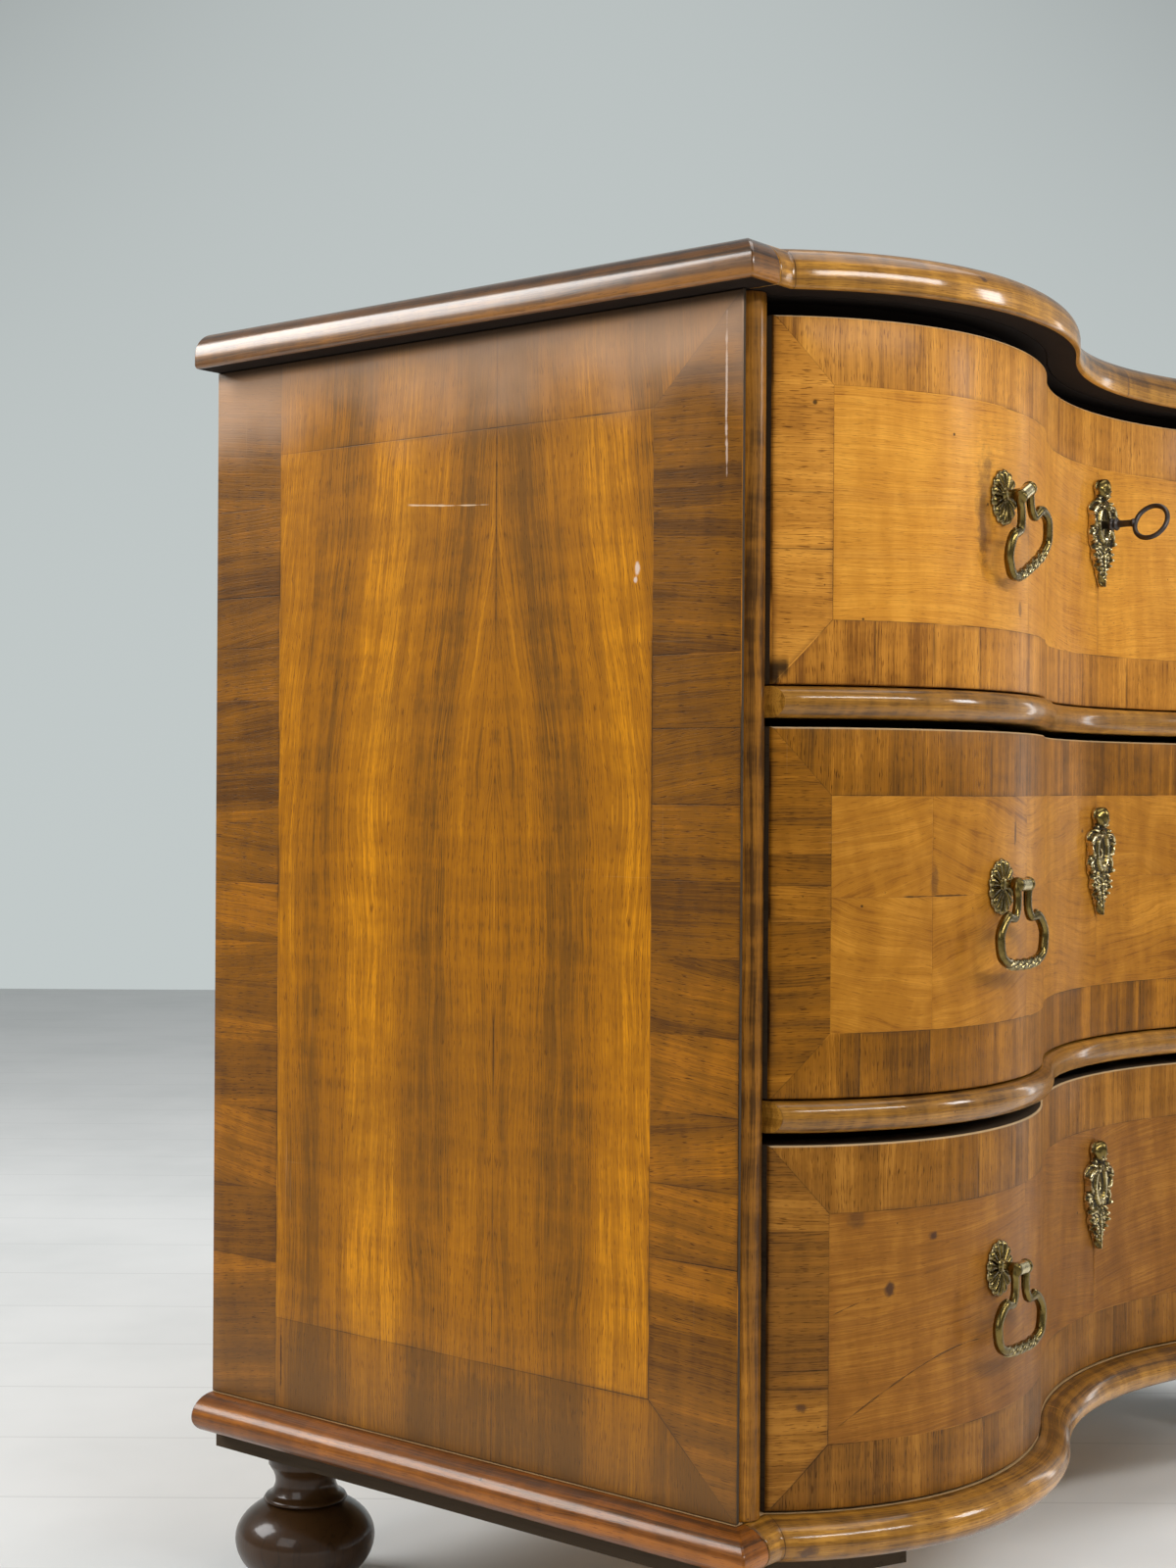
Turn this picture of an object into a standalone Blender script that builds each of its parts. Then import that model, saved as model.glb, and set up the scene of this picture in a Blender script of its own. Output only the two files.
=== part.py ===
"""Serpentine chest of drawers with three drawers, turned bun feet and cast brass pulls.

The chest stands on the XY plane, its front looks along -Y and +X is to the viewer's right.
Left and right are the viewer's. Every piece of the real chest is its own object.
"""

import math

import bmesh
import bpy
from mathutils import Matrix, Vector

# Case
CASE_WIDTH = 0.920
CASE_DEPTH = 0.445
GLUE_GAP = 0.0003
CURVE_GAP = 0.0008

# Serpentine front, in plan: two bulges with a hollow between them
CORNER_FLAT = 0.028
CROWN_IN = 0.176
BULGE = 0.068
CROWN_INNER_RADIUS = 0.259
SWEEP_ANGLE = math.radians(28.6)
OUTER_STEPS = 8
INNER_STEPS = 4
HOLLOW_STEPS = 6

# Heights, from the floor up
FOOT_HEIGHT = 0.0957
BEARER_THICK = 0.0122
BASE_THICK = 0.0266
OPENING_LOW = 0.2213
OPENING_MID = 0.2232
OPENING_TOP = 0.2265
DIVIDER_THICK = 0.0185
SLAB_THICK = 0.0265

# Edge mouldings
SLAB_OVERHANG = 0.022
BASE_OVERHANG = 0.0195
NOSE_REACH = 0.0075
RETURN_END = 0.006

# Boards
SIDE_THICK = 0.022
SIDE_LIP = 0.003
POST_DEPTH = 0.030
BEAD_RADIUS = 0.010
QUIRK_DEPTH = 0.006
BACK_THICK = 0.012
BACK_REBATE = 0.012
TOP_RAIL_HEIGHT = 0.0085
TOP_RAIL_SETBACK = 0.018
TOP_RAIL_BACK = 0.062
GUIDE_HEIGHT = 0.010
BEARER_WIDTH = 0.105
BEARER_INSET = 0.004
BEARER_SETBACK = 0.008

# Feet: centre distances from the case faces, and the ball
FOOT_FROM_SIDE = 0.0434
FOOT_FROM_BACK = 0.0486
FOOT_FROM_FRONT = 0.034
FOOT_BALL_RADIUS = 0.0483
FOOT_BALL_RISE = 0.030
FOOT_NECK_RADIUS = 0.0209
FOOT_COLLAR_RADIUS = 0.0257
FOOT_STEPS = 18

# Drawers
FRONT_THICK = 0.024
DRAWER_SIDE_THICK = 0.011
DRAWER_BACK_THICK = 0.011
DRAWER_BOTTOM_THICK = 0.009
DRAWER_BOTTOM_RISE = 0.0012
DRAWER_SIDE_DROP = 0.012
DRAWER_BACK_DROP = 0.020
DRAWER_BACK_SPACE = 0.015
FRONT_FOOT_GAP = 0.0010
FRONT_END_GAP = 0.0015
TOP_GAPS = {1: 0.0104, 2: 0.0052, 3: 0.0075}

# Locks and key
LOCK_WIDTH = 0.090
LOCK_SHELL = 0.002
LOCK_DEPTH = 0.012
LOCK_BELOW_KEY = 0.024
LOCK_MORTISE = 0.009
KEY_BELOW_TOP = 0.082
KEY_ABOVE_PLATE = 0.006
KEY_PLATE_HALF = 0.0175
BOLT_WIDTH = 0.026
BOLT_THICK = 0.006
BOLT_ABOVE_KEY = 0.017
BOLT_THROW = 0.011
BOLT_SLOT_GAP = 0.0008
KEY_SHAFT_RADIUS = 0.0031
KEY_HOLE_RADIUS = 0.0037
KEY_SLOT_HALF = 0.0021
KEY_SLOT_DEPTH = 0.0150
KEY_BIT_REACH = 0.0125
KEY_COLLAR_RADIUS = 0.0043
KEY_BOW_OUT = 0.0416
KEY_BOW_LONG = 0.0122
KEY_BOW_WIDE = 0.0137
KEY_BOW_WIRE = 0.0018
KEY_TURN = math.radians(28.0)

# Pulls
PULL_FROM_SIDE = 0.182
PULL_BELOW_TOP = {1: 0.0959, 2: 0.0958, 3: 0.0865}
PLATE_HALF_WIDTH = 0.0152
PLATE_HALF_HEIGHT = 0.0170
PLATE_RIBS = 14
PLATE_RISE = 0.0036
PIVOT_OUT = 0.015
PIVOT_RISE = 0.002
BARREL_HALF = 0.0052
BARREL_RADIUS = 0.0040
BARREL_BORE = 0.0018
STALK_RADIUS = 0.0028
BAIL_PIN_RADIUS = 0.0013
BAIL_WIRE_RADIUS = 0.0023
BAIL_GRIP_RADIUS = 0.0037
BAIL_HALF_WIDTH = 0.0292
BAIL_DROP = 0.0488
BAIL_NECK_DROP = 0.0182

# How the post of a loose pull has turned in its plate, and how far out its bail then hangs
POST_TURNS = {(1, "left"): math.radians(-27.0)}
BAIL_RESTS = {(1, "left"): math.radians(-8.0)}

# Derived places
HALF = CASE_WIDTH / 2
FRONT_Y = -(CASE_DEPTH - BULGE - SLAB_OVERHANG) / 2
BACK_Y = FRONT_Y + CASE_DEPTH
Z_BEARER = FOOT_HEIGHT + GLUE_GAP
Z_BASE = Z_BEARER + BEARER_THICK + GLUE_GAP
Z_FLOOR = Z_BASE + BASE_THICK
Z_LOW_DIVIDER = Z_FLOOR + OPENING_LOW
Z_UP_DIVIDER = Z_LOW_DIVIDER + DIVIDER_THICK + OPENING_MID
Z_CEILING = Z_UP_DIVIDER + DIVIDER_THICK + OPENING_TOP
Z_SLAB = Z_CEILING + GLUE_GAP
Z_TOP = Z_SLAB + SLAB_THICK
DRAWER_FLOOR = {3: Z_FLOOR, 2: Z_LOW_DIVIDER + DIVIDER_THICK, 1: Z_UP_DIVIDER + DIVIDER_THICK}
DRAWER_CEILING = {3: Z_LOW_DIVIDER, 2: Z_UP_DIVIDER, 1: Z_CEILING}
DRAWER_END = HALF - CORNER_FLAT - FRONT_END_GAP
DRAWER_BACK_Y = BACK_Y - BACK_THICK - DRAWER_BACK_SPACE

# Arc centres of the serpentine, for the left half
CROWN_X = -HALF + CROWN_IN
OUTER_CHORD = CROWN_IN - CORNER_FLAT
OUTER_RADIUS = (OUTER_CHORD**2 + BULGE**2) / (2 * BULGE)
OUTER_CENTRE_Y = FRONT_Y - BULGE + OUTER_RADIUS
INNER_CENTRE_Y = FRONT_Y - BULGE + CROWN_INNER_RADIUS
HOLLOW_RADIUS = -CROWN_X / math.sin(SWEEP_ANGLE) - CROWN_INNER_RADIUS
HOLLOW_CENTRE_Y = INNER_CENTRE_Y - (CROWN_INNER_RADIUS + HOLLOW_RADIUS) * math.cos(SWEEP_ANGLE)


def clear_scene():
    """Removes what the startup scene holds."""
    for item in list(bpy.data.objects):
        bpy.data.objects.remove(item, do_unlink=True)


def material(name, colour, roughness, metallic=0.0):
    """A Principled material with a colour, a roughness and a metallic value."""
    made = bpy.data.materials.new(name)
    made.use_nodes = True
    shader = made.node_tree.nodes["Principled BSDF"]
    shader.inputs["Base Color"].default_value = (*colour, 1.0)
    shader.inputs["Roughness"].default_value = roughness
    shader.inputs["Metallic"].default_value = metallic
    made.diffuse_color = (*colour, 1.0)
    return made


def place(name, mesh, look, location=(0.0, 0.0, 0.0), turn=0.0, parent=None):
    """Puts a mesh in the scene as one named piece, turned about Z, below its parent empty."""
    piece = bpy.data.objects.new(name, mesh)
    bpy.context.scene.collection.objects.link(piece)
    if not mesh.materials:
        mesh.materials.append(look)
    if parent:
        piece.parent = parent
        location = Vector(location) - parent.location
    piece.location = location
    piece.rotation_euler = (0.0, 0.0, turn)
    return piece


def empty(name, location):
    """An empty that carries the pieces of one drawer."""
    made = bpy.data.objects.new(name, None)
    bpy.context.scene.collection.objects.link(made)
    made.empty_display_size = 0.05
    made.location = location
    return made


def finish_mesh(name, work, smooth=None):
    """Closes a bmesh into a mesh, with outward normals and smooth shading under an angle."""
    bmesh.ops.remove_doubles(work, verts=work.verts, dist=0.00001)
    bmesh.ops.recalc_face_normals(work, faces=work.faces)
    mesh = bpy.data.meshes.new(name)
    work.to_mesh(mesh)
    work.free()
    if smooth is not None:
        mesh.shade_smooth()
        mesh.set_sharp_from_angle(angle=smooth)
    return mesh


def box_mesh(name, low, high):
    """A box between two corners."""
    work = bmesh.new()
    made = bmesh.ops.create_cube(work, size=1.0)
    size = Vector(high) - Vector(low)
    bmesh.ops.scale(work, vec=size, verts=made["verts"])
    bmesh.ops.translate(work, vec=(Vector(low) + Vector(high)) / 2, verts=made["verts"])
    return finish_mesh(name, work)


def prism_mesh(name, outline, z_low, z_high, smooth=None):
    """A plan outline extruded upwards."""
    work = bmesh.new()
    foot = work.faces.new([work.verts.new((x, y, z_low)) for x, y in outline])
    raised = bmesh.ops.extrude_face_region(work, geom=[foot])
    moved = [item for item in raised["geom"] if isinstance(item, bmesh.types.BMVert)]
    bmesh.ops.translate(work, vec=(0.0, 0.0, z_high - z_low), verts=moved)
    return finish_mesh(name, work, smooth)


def mirrored(points, side):
    """Plan points of the left half, or their mirror image for side +1."""
    return points if side < 0 else [(-x, y) for x, y in points]


def arc(centre, radius, start, end, steps):
    """Points on an arc whose angle is measured from straight ahead (-Y), growing towards +X."""
    return [
        (
            centre[0] + radius * math.sin(start + (end - start) * i / steps),
            centre[1] - radius * math.cos(start + (end - start) * i / steps),
        )
        for i in range(steps + 1)
    ]


def left_curve(offset, start_x=None):
    """The left half of the serpentine, moved outwards by offset.

    It starts where it meets the flat at the corner, or at start_x, and ends at the hollow's middle.
    """
    outer = OUTER_RADIUS + offset
    if start_x is None:
        start = -math.acos((OUTER_CENTRE_Y - FRONT_Y + offset) / outer)
    else:
        start = -math.asin((CROWN_X - start_x) / outer)
    points = arc((CROWN_X, OUTER_CENTRE_Y), outer, start, 0.0, OUTER_STEPS)
    points += arc((CROWN_X, INNER_CENTRE_Y), CROWN_INNER_RADIUS + offset, 0.0, SWEEP_ANGLE, INNER_STEPS)[1:]
    hollow = HOLLOW_RADIUS - offset
    for i in range(1, HOLLOW_STEPS + 1):
        angle = SWEEP_ANGLE * (1 - i / HOLLOW_STEPS)
        points.append((-hollow * math.sin(angle), HOLLOW_CENTRE_Y + hollow * math.cos(angle)))
    return points


def whole_curve(offset, start_x=None, lead=None):
    """The whole serpentine from left to right, with a straight lead from the point x = lead."""
    left = left_curve(offset, start_x)
    if lead is not None:
        left = [(lead, FRONT_Y - offset)] + left
    return left + [(-x, y) for x, y in reversed(left[:-1])]


def front_y(x, offset=0.0, flat=False):
    """Where the serpentine, moved outwards by offset, lies at one x, with or without the corner flat."""
    x = -abs(x)
    if x > CROWN_X + (CROWN_INNER_RADIUS + offset) * math.sin(SWEEP_ANGLE):
        return HOLLOW_CENTRE_Y + math.sqrt((HOLLOW_RADIUS - offset) ** 2 - x * x)
    if x > CROWN_X:
        return INNER_CENTRE_Y - math.sqrt((CROWN_INNER_RADIUS + offset) ** 2 - (x - CROWN_X) ** 2)
    if flat and x < -HALF + CORNER_FLAT:
        return FRONT_Y - offset
    outer = OUTER_RADIUS + offset
    bulge_y = OUTER_CENTRE_Y - math.sqrt(outer**2 - (x - CROWN_X) ** 2)
    return min(FRONT_Y - offset, bulge_y) if flat else bulge_y


def edged_board_mesh(name, levels, rows, back_outline, smooth=math.radians(20)):
    """A board whose front edge follows rows of plan points at several heights.

    Args:
        levels: heights of the rows, from the bottom face to the top face.
        rows: one list of plan points for each height, from left to right.
        back_outline: plan points from the right end round the back to the left end.
    """
    work = bmesh.new()
    front = [[work.verts.new((x, y, z)) for x, y in row] for z, row in zip(levels, rows)]
    low = [work.verts.new((x, y, levels[0])) for x, y in back_outline]
    high = [work.verts.new((x, y, levels[-1])) for x, y in back_outline]
    for under, over in zip(front, front[1:]):
        for i in range(len(under) - 1):
            work.faces.new((under[i], under[i + 1], over[i + 1], over[i]))
    for i in range(len(low) - 1):
        work.faces.new((low[i], low[i + 1], high[i + 1], high[i]))
    work.faces.new([row[-1] for row in front] + [high[0], low[0]])
    work.faces.new([row[0] for row in reversed(front)] + [low[-1], high[-1]])
    work.faces.new(list(reversed(front[0] + low)))
    work.faces.new(front[-1] + high)
    return finish_mesh(name, work, smooth)


def ring_mesh(name, rings, smooth=math.radians(30)):
    """A closed section carried along a path: the rings are bridged and both ends capped."""
    work = bmesh.new()
    loops = [[work.verts.new(point) for point in ring] for ring in rings]
    count = len(loops[0])
    for near, far in zip(loops, loops[1:]):
        for i in range(count):
            j = (i + 1) % count
            work.faces.new((near[i], near[j], far[j], far[i]))
    work.faces.new(list(reversed(loops[0])))
    work.faces.new(loops[-1])
    return finish_mesh(name, work, smooth)


def front_moulding_mesh(name, section):
    """A moulding on the serpentine front: section is (offset, z) round the closed profile."""
    curves = [whole_curve(offset, lead=-HALF + RETURN_END) for offset, _ in section]
    rings = [
        [(curve[i][0], curve[i][1], z) for curve, (_, z) in zip(curves, section)]
        for i in range(len(curves[0]))
    ]
    return ring_mesh(name, rings)


def side_moulding_mesh(name, section, side):
    """A moulding along one side, mitred at the corner, with its square return on the front."""
    end = RETURN_END - GLUE_GAP
    rings = []
    for place_x, place_y in ((None, BACK_Y), (None, None), (-HALF + end, None)):
        ring = []
        for offset, z in section:
            x = -HALF - offset if place_x is None else place_x
            y = FRONT_Y - offset if place_y is None else place_y
            ring.append((x if side < 0 else -x, y, z))
        rings.append(ring)
    return ring_mesh(name, rings)


def thumbnail_section(z_low, thick, reach):
    """The top's edge: a small rounded arris below, an upright face, and a long round above."""
    arris = 0.0025
    rise = 0.014
    points = [(0.0, z_low), (reach - arris, z_low), (reach, z_low + arris)]
    for i in range(6):
        angle = math.radians(90 * i / 5)
        points.append((
            reach * (0.10 + 0.90 * math.cos(angle)) if i < 5 else 0.10 * reach,
            z_low + thick - rise + rise * math.sin(angle),
        ))
    points.append((0.0, z_low + thick))
    return points


def half_round_section(z_low, thick, reach):
    """The base's edge: a full round, a little fuller above than below."""
    points = [(0.0, z_low)]
    for i in range(8):
        angle = math.radians(-78 + 168 * i / 7)
        up = math.sin(angle)
        height = z_low + thick * (0.46 + (0.54 if up > 0 else 0.47) * up)
        points.append((reach * math.cos(angle) if i < 7 else 0.0, height))
    return points


def top_pieces(looks):
    """The top board and its edge mouldings."""
    row = whole_curve(-GLUE_GAP, lead=-HALF + GLUE_GAP)
    back = [(HALF - GLUE_GAP, BACK_Y), (-HALF + GLUE_GAP, BACK_Y)]
    board = edged_board_mesh("top_board", (Z_SLAB, Z_TOP), (row, row), back)
    place("top_board", board, looks["case"])
    section = thumbnail_section(Z_SLAB, SLAB_THICK, SLAB_OVERHANG)
    place("top_moulding_front", front_moulding_mesh("top_moulding_front", section), looks["edge"])
    for side, name in ((-1, "top_moulding_left"), (1, "top_moulding_right")):
        place(name, side_moulding_mesh(name, section, side), looks["edge"])


def guide_boxes(z_top):
    """Low and high corners of the two drawer guides that stand on a board."""
    inner = HALF - SIDE_THICK - GLUE_GAP
    found = []
    for side in (-1, 1):
        xs = sorted((side * inner, side * (HALF - CORNER_FLAT)))
        found.append((
            (xs[0], FRONT_Y + POST_DEPTH + 0.002, z_top - 0.004),
            (xs[1], BACK_Y - BACK_THICK - 0.003, z_top + GUIDE_HEIGHT),
        ))
    return found


def hide_helper(helper):
    """Marks a cutter or a joined helper, so that it is no piece of its own."""
    helper.hide_render = True
    helper.display_type = "WIRE"


def combine(target, helper_mesh, operation, name, location=(0.0, 0.0, 0.0)):
    """Cuts a helper mesh from a piece, or joins it to the piece."""
    helper = bpy.data.objects.new(name, helper_mesh)
    bpy.context.scene.collection.objects.link(helper)
    helper.location = location
    hide_helper(helper)
    modifier = target.modifiers.new(name, "BOOLEAN")
    modifier.operation = operation
    modifier.object = helper
    modifier.solver = "EXACT"


def add_guides(board, z_top):
    """Joins the two drawer guides to the board that they are glued to."""
    for side, (low, high) in zip(("left", "right"), guide_boxes(z_top)):
        name = f"{board.name}_guide_{side}"
        combine(board, box_mesh(name, low, high), "UNION", name)


def cut_bolt_mortise(board, number):
    """Cuts the mortise that the lock bolt of the drawer below shoots into."""
    low_y, high_y = bolt_span()
    gap = BOLT_SLOT_GAP
    z_low = drawer_top(number)
    z_high = z_low + BOLT_THROW + 0.0010
    low = (-BOLT_WIDTH / 2 - gap, low_y - gap, z_low - 0.001)
    high = (BOLT_WIDTH / 2 + gap, high_y + gap, z_high)
    name = f"bolt_mortise_{number}"
    combine(board, box_mesh(name, low, high), "DIFFERENCE", name)


def base_pieces(looks):
    """The base board, its half-round moulding, the bearers and the turned feet."""
    row = whole_curve(-GLUE_GAP, lead=-HALF + GLUE_GAP)
    back = [(HALF - GLUE_GAP, BACK_Y), (-HALF + GLUE_GAP, BACK_Y)]
    board = edged_board_mesh("base_board", (Z_BASE, Z_FLOOR), (row, row), back)
    add_guides(place("base_board", board, looks["inner"]), Z_FLOOR)
    section = half_round_section(Z_BASE, BASE_THICK, BASE_OVERHANG)
    place("base_moulding_front", front_moulding_mesh("base_moulding_front", section), looks["edge"])
    for side, name in ((-1, "base_moulding_left"), (1, "base_moulding_right")):
        place(name, side_moulding_mesh(name, section, side), looks["edge"])
    near = -HALF + BEARER_INSET
    far = near + BEARER_WIDTH
    span = [near + (far - near) * i / 5 for i in range(6)]
    outline = [(x, front_y(x, -BEARER_SETBACK, flat=True)) for x in span]
    outline += [(far, BACK_Y), (near, BACK_Y)]
    for side, name in ((-1, "bearer_left"), (1, "bearer_right")):
        mesh = prism_mesh(name, mirrored(outline, side), Z_BEARER, Z_BEARER + BEARER_THICK)
        place(name, mesh, looks["dark"])
    foot = foot_mesh()
    for name, x, y in (
        ("foot_front_left", -1, FRONT_Y + FOOT_FROM_FRONT),
        ("foot_front_right", 1, FRONT_Y + FOOT_FROM_FRONT),
        ("foot_back_left", -1, BACK_Y - FOOT_FROM_BACK),
        ("foot_back_right", 1, BACK_Y - FOOT_FROM_BACK),
    ):
        place(name, foot, looks["dark"], (x * (HALF - FOOT_FROM_SIDE), y, 0.0))


def foot_mesh():
    """A turned bun foot: a flattened ball, a ring, a cavetto neck and a collar."""
    ball = FOOT_BALL_RADIUS
    neck = FOOT_NECK_RADIUS
    profile = [(0.0, 0.0), (0.42 * ball, 0.0)]
    middle = 0.36 * FOOT_HEIGHT
    for degrees in (-68, -45, -22, 0, 22, 42, 58):
        angle = math.radians(degrees)
        rise = middle if degrees < 0 else FOOT_BALL_RISE
        profile.append((ball * math.cos(angle), middle + rise * math.sin(angle)))
    ring = neck + 0.0068
    profile += [
        (ring, 0.620 * FOOT_HEIGHT),
        (ring, 0.655 * FOOT_HEIGHT),
        (neck + 0.0022, 0.700 * FOOT_HEIGHT),
        (neck, 0.745 * FOOT_HEIGHT),
        (neck + 0.0004, 0.800 * FOOT_HEIGHT),
        (neck + 0.0022, 0.850 * FOOT_HEIGHT),
        (FOOT_COLLAR_RADIUS, 0.885 * FOOT_HEIGHT),
        (FOOT_COLLAR_RADIUS, FOOT_HEIGHT),
        (0.0, FOOT_HEIGHT),
    ]
    work = bmesh.new()
    points = [work.verts.new((r, 0.0, z)) for r, z in profile]
    edges = [work.edges.new(pair) for pair in zip(points, points[1:])]
    bmesh.ops.spin(
        work,
        geom=points + edges,
        cent=(0.0, 0.0, 0.0),
        axis=(0.0, 0.0, 1.0),
        angle=math.tau,
        steps=FOOT_STEPS,
        use_merge=True,
    )
    return finish_mesh("foot", work, math.radians(40))


def case_pieces(looks):
    """Side panels, corner posts, back boards, the top rail and the two dividers."""
    inner = HALF - SIDE_THICK
    post_back = FRONT_Y + POST_DEPTH + GLUE_GAP
    rebate = BACK_Y - BACK_THICK - GLUE_GAP
    panel = [
        (-HALF, FRONT_Y),
        (-HALF + SIDE_LIP, FRONT_Y),
        (-HALF + SIDE_LIP, post_back),
        (-inner, post_back),
        (-inner, rebate),
        (-HALF + SIDE_THICK - BACK_REBATE, rebate),
        (-HALF + SIDE_THICK - BACK_REBATE, BACK_Y),
        (-HALF, BACK_Y),
    ]
    z_low = Z_FLOOR + GLUE_GAP
    for side, name in ((-1, "side_left"), (1, "side_right")):
        place(name, prism_mesh(name, mirrored(panel, side), z_low, Z_CEILING), looks["case"])
    for side, name in ((-1, "post_left"), (1, "post_right")):
        mesh = prism_mesh(name, mirrored(post_outline(), side), z_low, Z_CEILING, math.radians(30))
        place(name, mesh, looks["edge"])
    back_half = HALF - SIDE_THICK + BACK_REBATE - GLUE_GAP
    split = (z_low + Z_CEILING) / 2
    low_y = BACK_Y - BACK_THICK
    for name, low, high in (
        ("back_board_lower", z_low, split - GLUE_GAP / 2),
        ("back_board_upper", split + GLUE_GAP / 2, Z_CEILING),
    ):
        mesh = box_mesh(name, (-back_half, low_y, low), (back_half, BACK_Y, high))
        place(name, mesh, looks["inner"])
    rail_row = whole_curve(-TOP_RAIL_SETBACK, start_x=-HALF + CORNER_FLAT + GLUE_GAP)
    rail = edged_board_mesh(
        "rail_top",
        (Z_CEILING - TOP_RAIL_HEIGHT, Z_CEILING),
        (rail_row, rail_row),
        behind_posts(FRONT_Y + TOP_RAIL_BACK),
    )
    cut_bolt_mortise(place("rail_top", rail, looks["inner"]), 1)
    for name, z_low, number in (
        ("divider_upper", Z_UP_DIVIDER, 2),
        ("divider_lower", Z_LOW_DIVIDER, 3),
    ):
        levels, rows = nose_rows(z_low)
        mesh = edged_board_mesh(name, levels, rows, behind_posts(rebate), math.radians(35))
        divider = place(name, mesh, looks["edge"])
        add_guides(divider, z_low + DIVIDER_THICK)
        cut_bolt_mortise(divider, number)


def post_outline():
    """The left corner post in plan: a bead between two quirks on a square post."""
    near = -HALF + SIDE_LIP + GLUE_GAP
    far = -HALF + CORNER_FLAT
    quirk = FRONT_Y + QUIRK_DEPTH
    centre = (near + far) / 2 - 0.0006
    bead = [
        (centre + BEAD_RADIUS * math.cos(math.radians(d)), quirk - BEAD_RADIUS * math.sin(math.radians(d)))
        for d in range(180, -1, -20)
    ]
    back = FRONT_Y + POST_DEPTH
    return [(near, back), (near, quirk)] + bead + [(far, quirk), (far, back)]


def behind_posts(back_y):
    """Plan points of a board from its right front end round the posts and the back."""
    at_post = HALF - CORNER_FLAT - GLUE_GAP
    at_side = HALF - SIDE_THICK - GLUE_GAP
    notch = FRONT_Y + POST_DEPTH + 2 * GLUE_GAP
    right = [(at_post, notch), (at_side, notch), (at_side, back_y)]
    return right + [(-x, y) for x, y in reversed(right)]


def nose_rows(z_low):
    """Heights and plan rows of a divider's half-round nose."""
    start = -HALF + CORNER_FLAT + GLUE_GAP
    levels = []
    rows = []
    for i in range(7):
        angle = math.radians(-90 + 30 * i)
        levels.append(z_low + DIVIDER_THICK * (0.5 + 0.5 * math.sin(angle)))
        rows.append(whole_curve(NOSE_REACH * math.cos(angle), start_x=start))
    return levels, rows


def drawer_top(number):
    """Height of a drawer front's top edge."""
    return DRAWER_CEILING[number] - TOP_GAPS[number]


def lock_back():
    """Where the flat floor of the lock mortise lies in a drawer front."""
    return front_y(0.0, -FRONT_THICK) - LOCK_MORTISE


def bolt_span():
    """Front and back of a lock bolt, against the back plate of its case."""
    high_y = lock_back() + GLUE_GAP + LOCK_DEPTH - LOCK_SHELL - GLUE_GAP
    return high_y - BOLT_THICK, high_y


def keyhole_mesh(name, low_y, high_y, steps=12):
    """A keyhole cutter along Y: a round hole with a slot below it, its centre at the origin."""
    radius = KEY_HOLE_RADIUS
    half = KEY_SLOT_HALF
    start = math.asin(half / radius)
    work = bmesh.new()
    outline = []
    for i in range(steps + 1):
        angle = -math.pi / 2 + start + (math.tau - 2 * start) * i / steps
        outline.append((radius * math.cos(angle), radius * math.sin(angle)))
    outline += [(-half, -KEY_SLOT_DEPTH), (half, -KEY_SLOT_DEPTH)]
    face = work.faces.new([work.verts.new((x, low_y, z)) for x, z in outline])
    raised = bmesh.ops.extrude_face_region(work, geom=[face])
    moved = [item for item in raised["geom"] if isinstance(item, bmesh.types.BMVert)]
    bmesh.ops.translate(work, vec=(0.0, high_y - low_y, 0.0), verts=moved)
    return finish_mesh(name, work)


def drawer_pieces(number, looks):
    """One drawer: its front, sides, back and bottom, with lock, escutcheon and pulls."""
    floor = DRAWER_FLOOR[number]
    top = drawer_top(number)
    carrier = empty(f"drawer_{number}", (0.0, front_y(0.0), (floor + top) / 2))
    outer = whole_curve(0.0, start_x=-DRAWER_END)
    inside = whole_curve(-FRONT_THICK, start_x=-DRAWER_END)
    levels = (floor + FRONT_FOOT_GAP, top)
    name = f"drawer_{number}_front"
    mesh = shift(edged_board_mesh(name, levels, (outer, outer), inside[::-1]), carrier)
    front = place(name, mesh, looks["front"], carrier.location, parent=carrier)
    cut_lock_room(front, number, top)

    side_low = floor + GLUE_GAP
    side_high = top - DRAWER_SIDE_DROP
    end = DRAWER_END
    inner = end - DRAWER_SIDE_THICK
    reach = -FRONT_THICK - CURVE_GAP
    outline = [
        (-end, front_y(-end, reach)),
        (-inner, front_y(-inner, reach)),
        (-inner, DRAWER_BACK_Y),
        (-end, DRAWER_BACK_Y),
    ]
    for side, label in ((-1, "left"), (1, "right")):
        name = f"drawer_{number}_side_{label}"
        mesh = prism_mesh(name, mirrored(outline, side), side_low, side_high)
        place(name, shift(mesh, carrier), looks["inner"], carrier.location, parent=carrier)

    bottom_low = side_low + DRAWER_BOTTOM_RISE
    bottom_high = bottom_low + DRAWER_BOTTOM_THICK
    edge = inner - GLUE_GAP
    row = whole_curve(-FRONT_THICK - CURVE_GAP, start_x=-edge)
    name = f"drawer_{number}_bottom"
    behind = [(edge, DRAWER_BACK_Y), (-edge, DRAWER_BACK_Y)]
    mesh = edged_board_mesh(name, (bottom_low, bottom_high), (row, row), behind)
    place(name, shift(mesh, carrier), looks["inner"], carrier.location, parent=carrier)
    name = f"drawer_{number}_back"
    low = (-edge, DRAWER_BACK_Y - DRAWER_BACK_THICK, bottom_high + GLUE_GAP)
    high = (edge, DRAWER_BACK_Y, top - DRAWER_BACK_DROP)
    place(name, shift(box_mesh(name, low, high), carrier), looks["inner"], carrier.location, parent=carrier)

    lock_pieces(number, carrier, looks)
    for side, label in ((-1, "left"), (1, "right")):
        pull_pieces(number, side, label, carrier, looks)


def shift(mesh, carrier):
    """Moves a mesh that was made in place, so that its origin is its carrier's."""
    mesh.transform(Matrix.Translation(-carrier.location))
    return mesh


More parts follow.
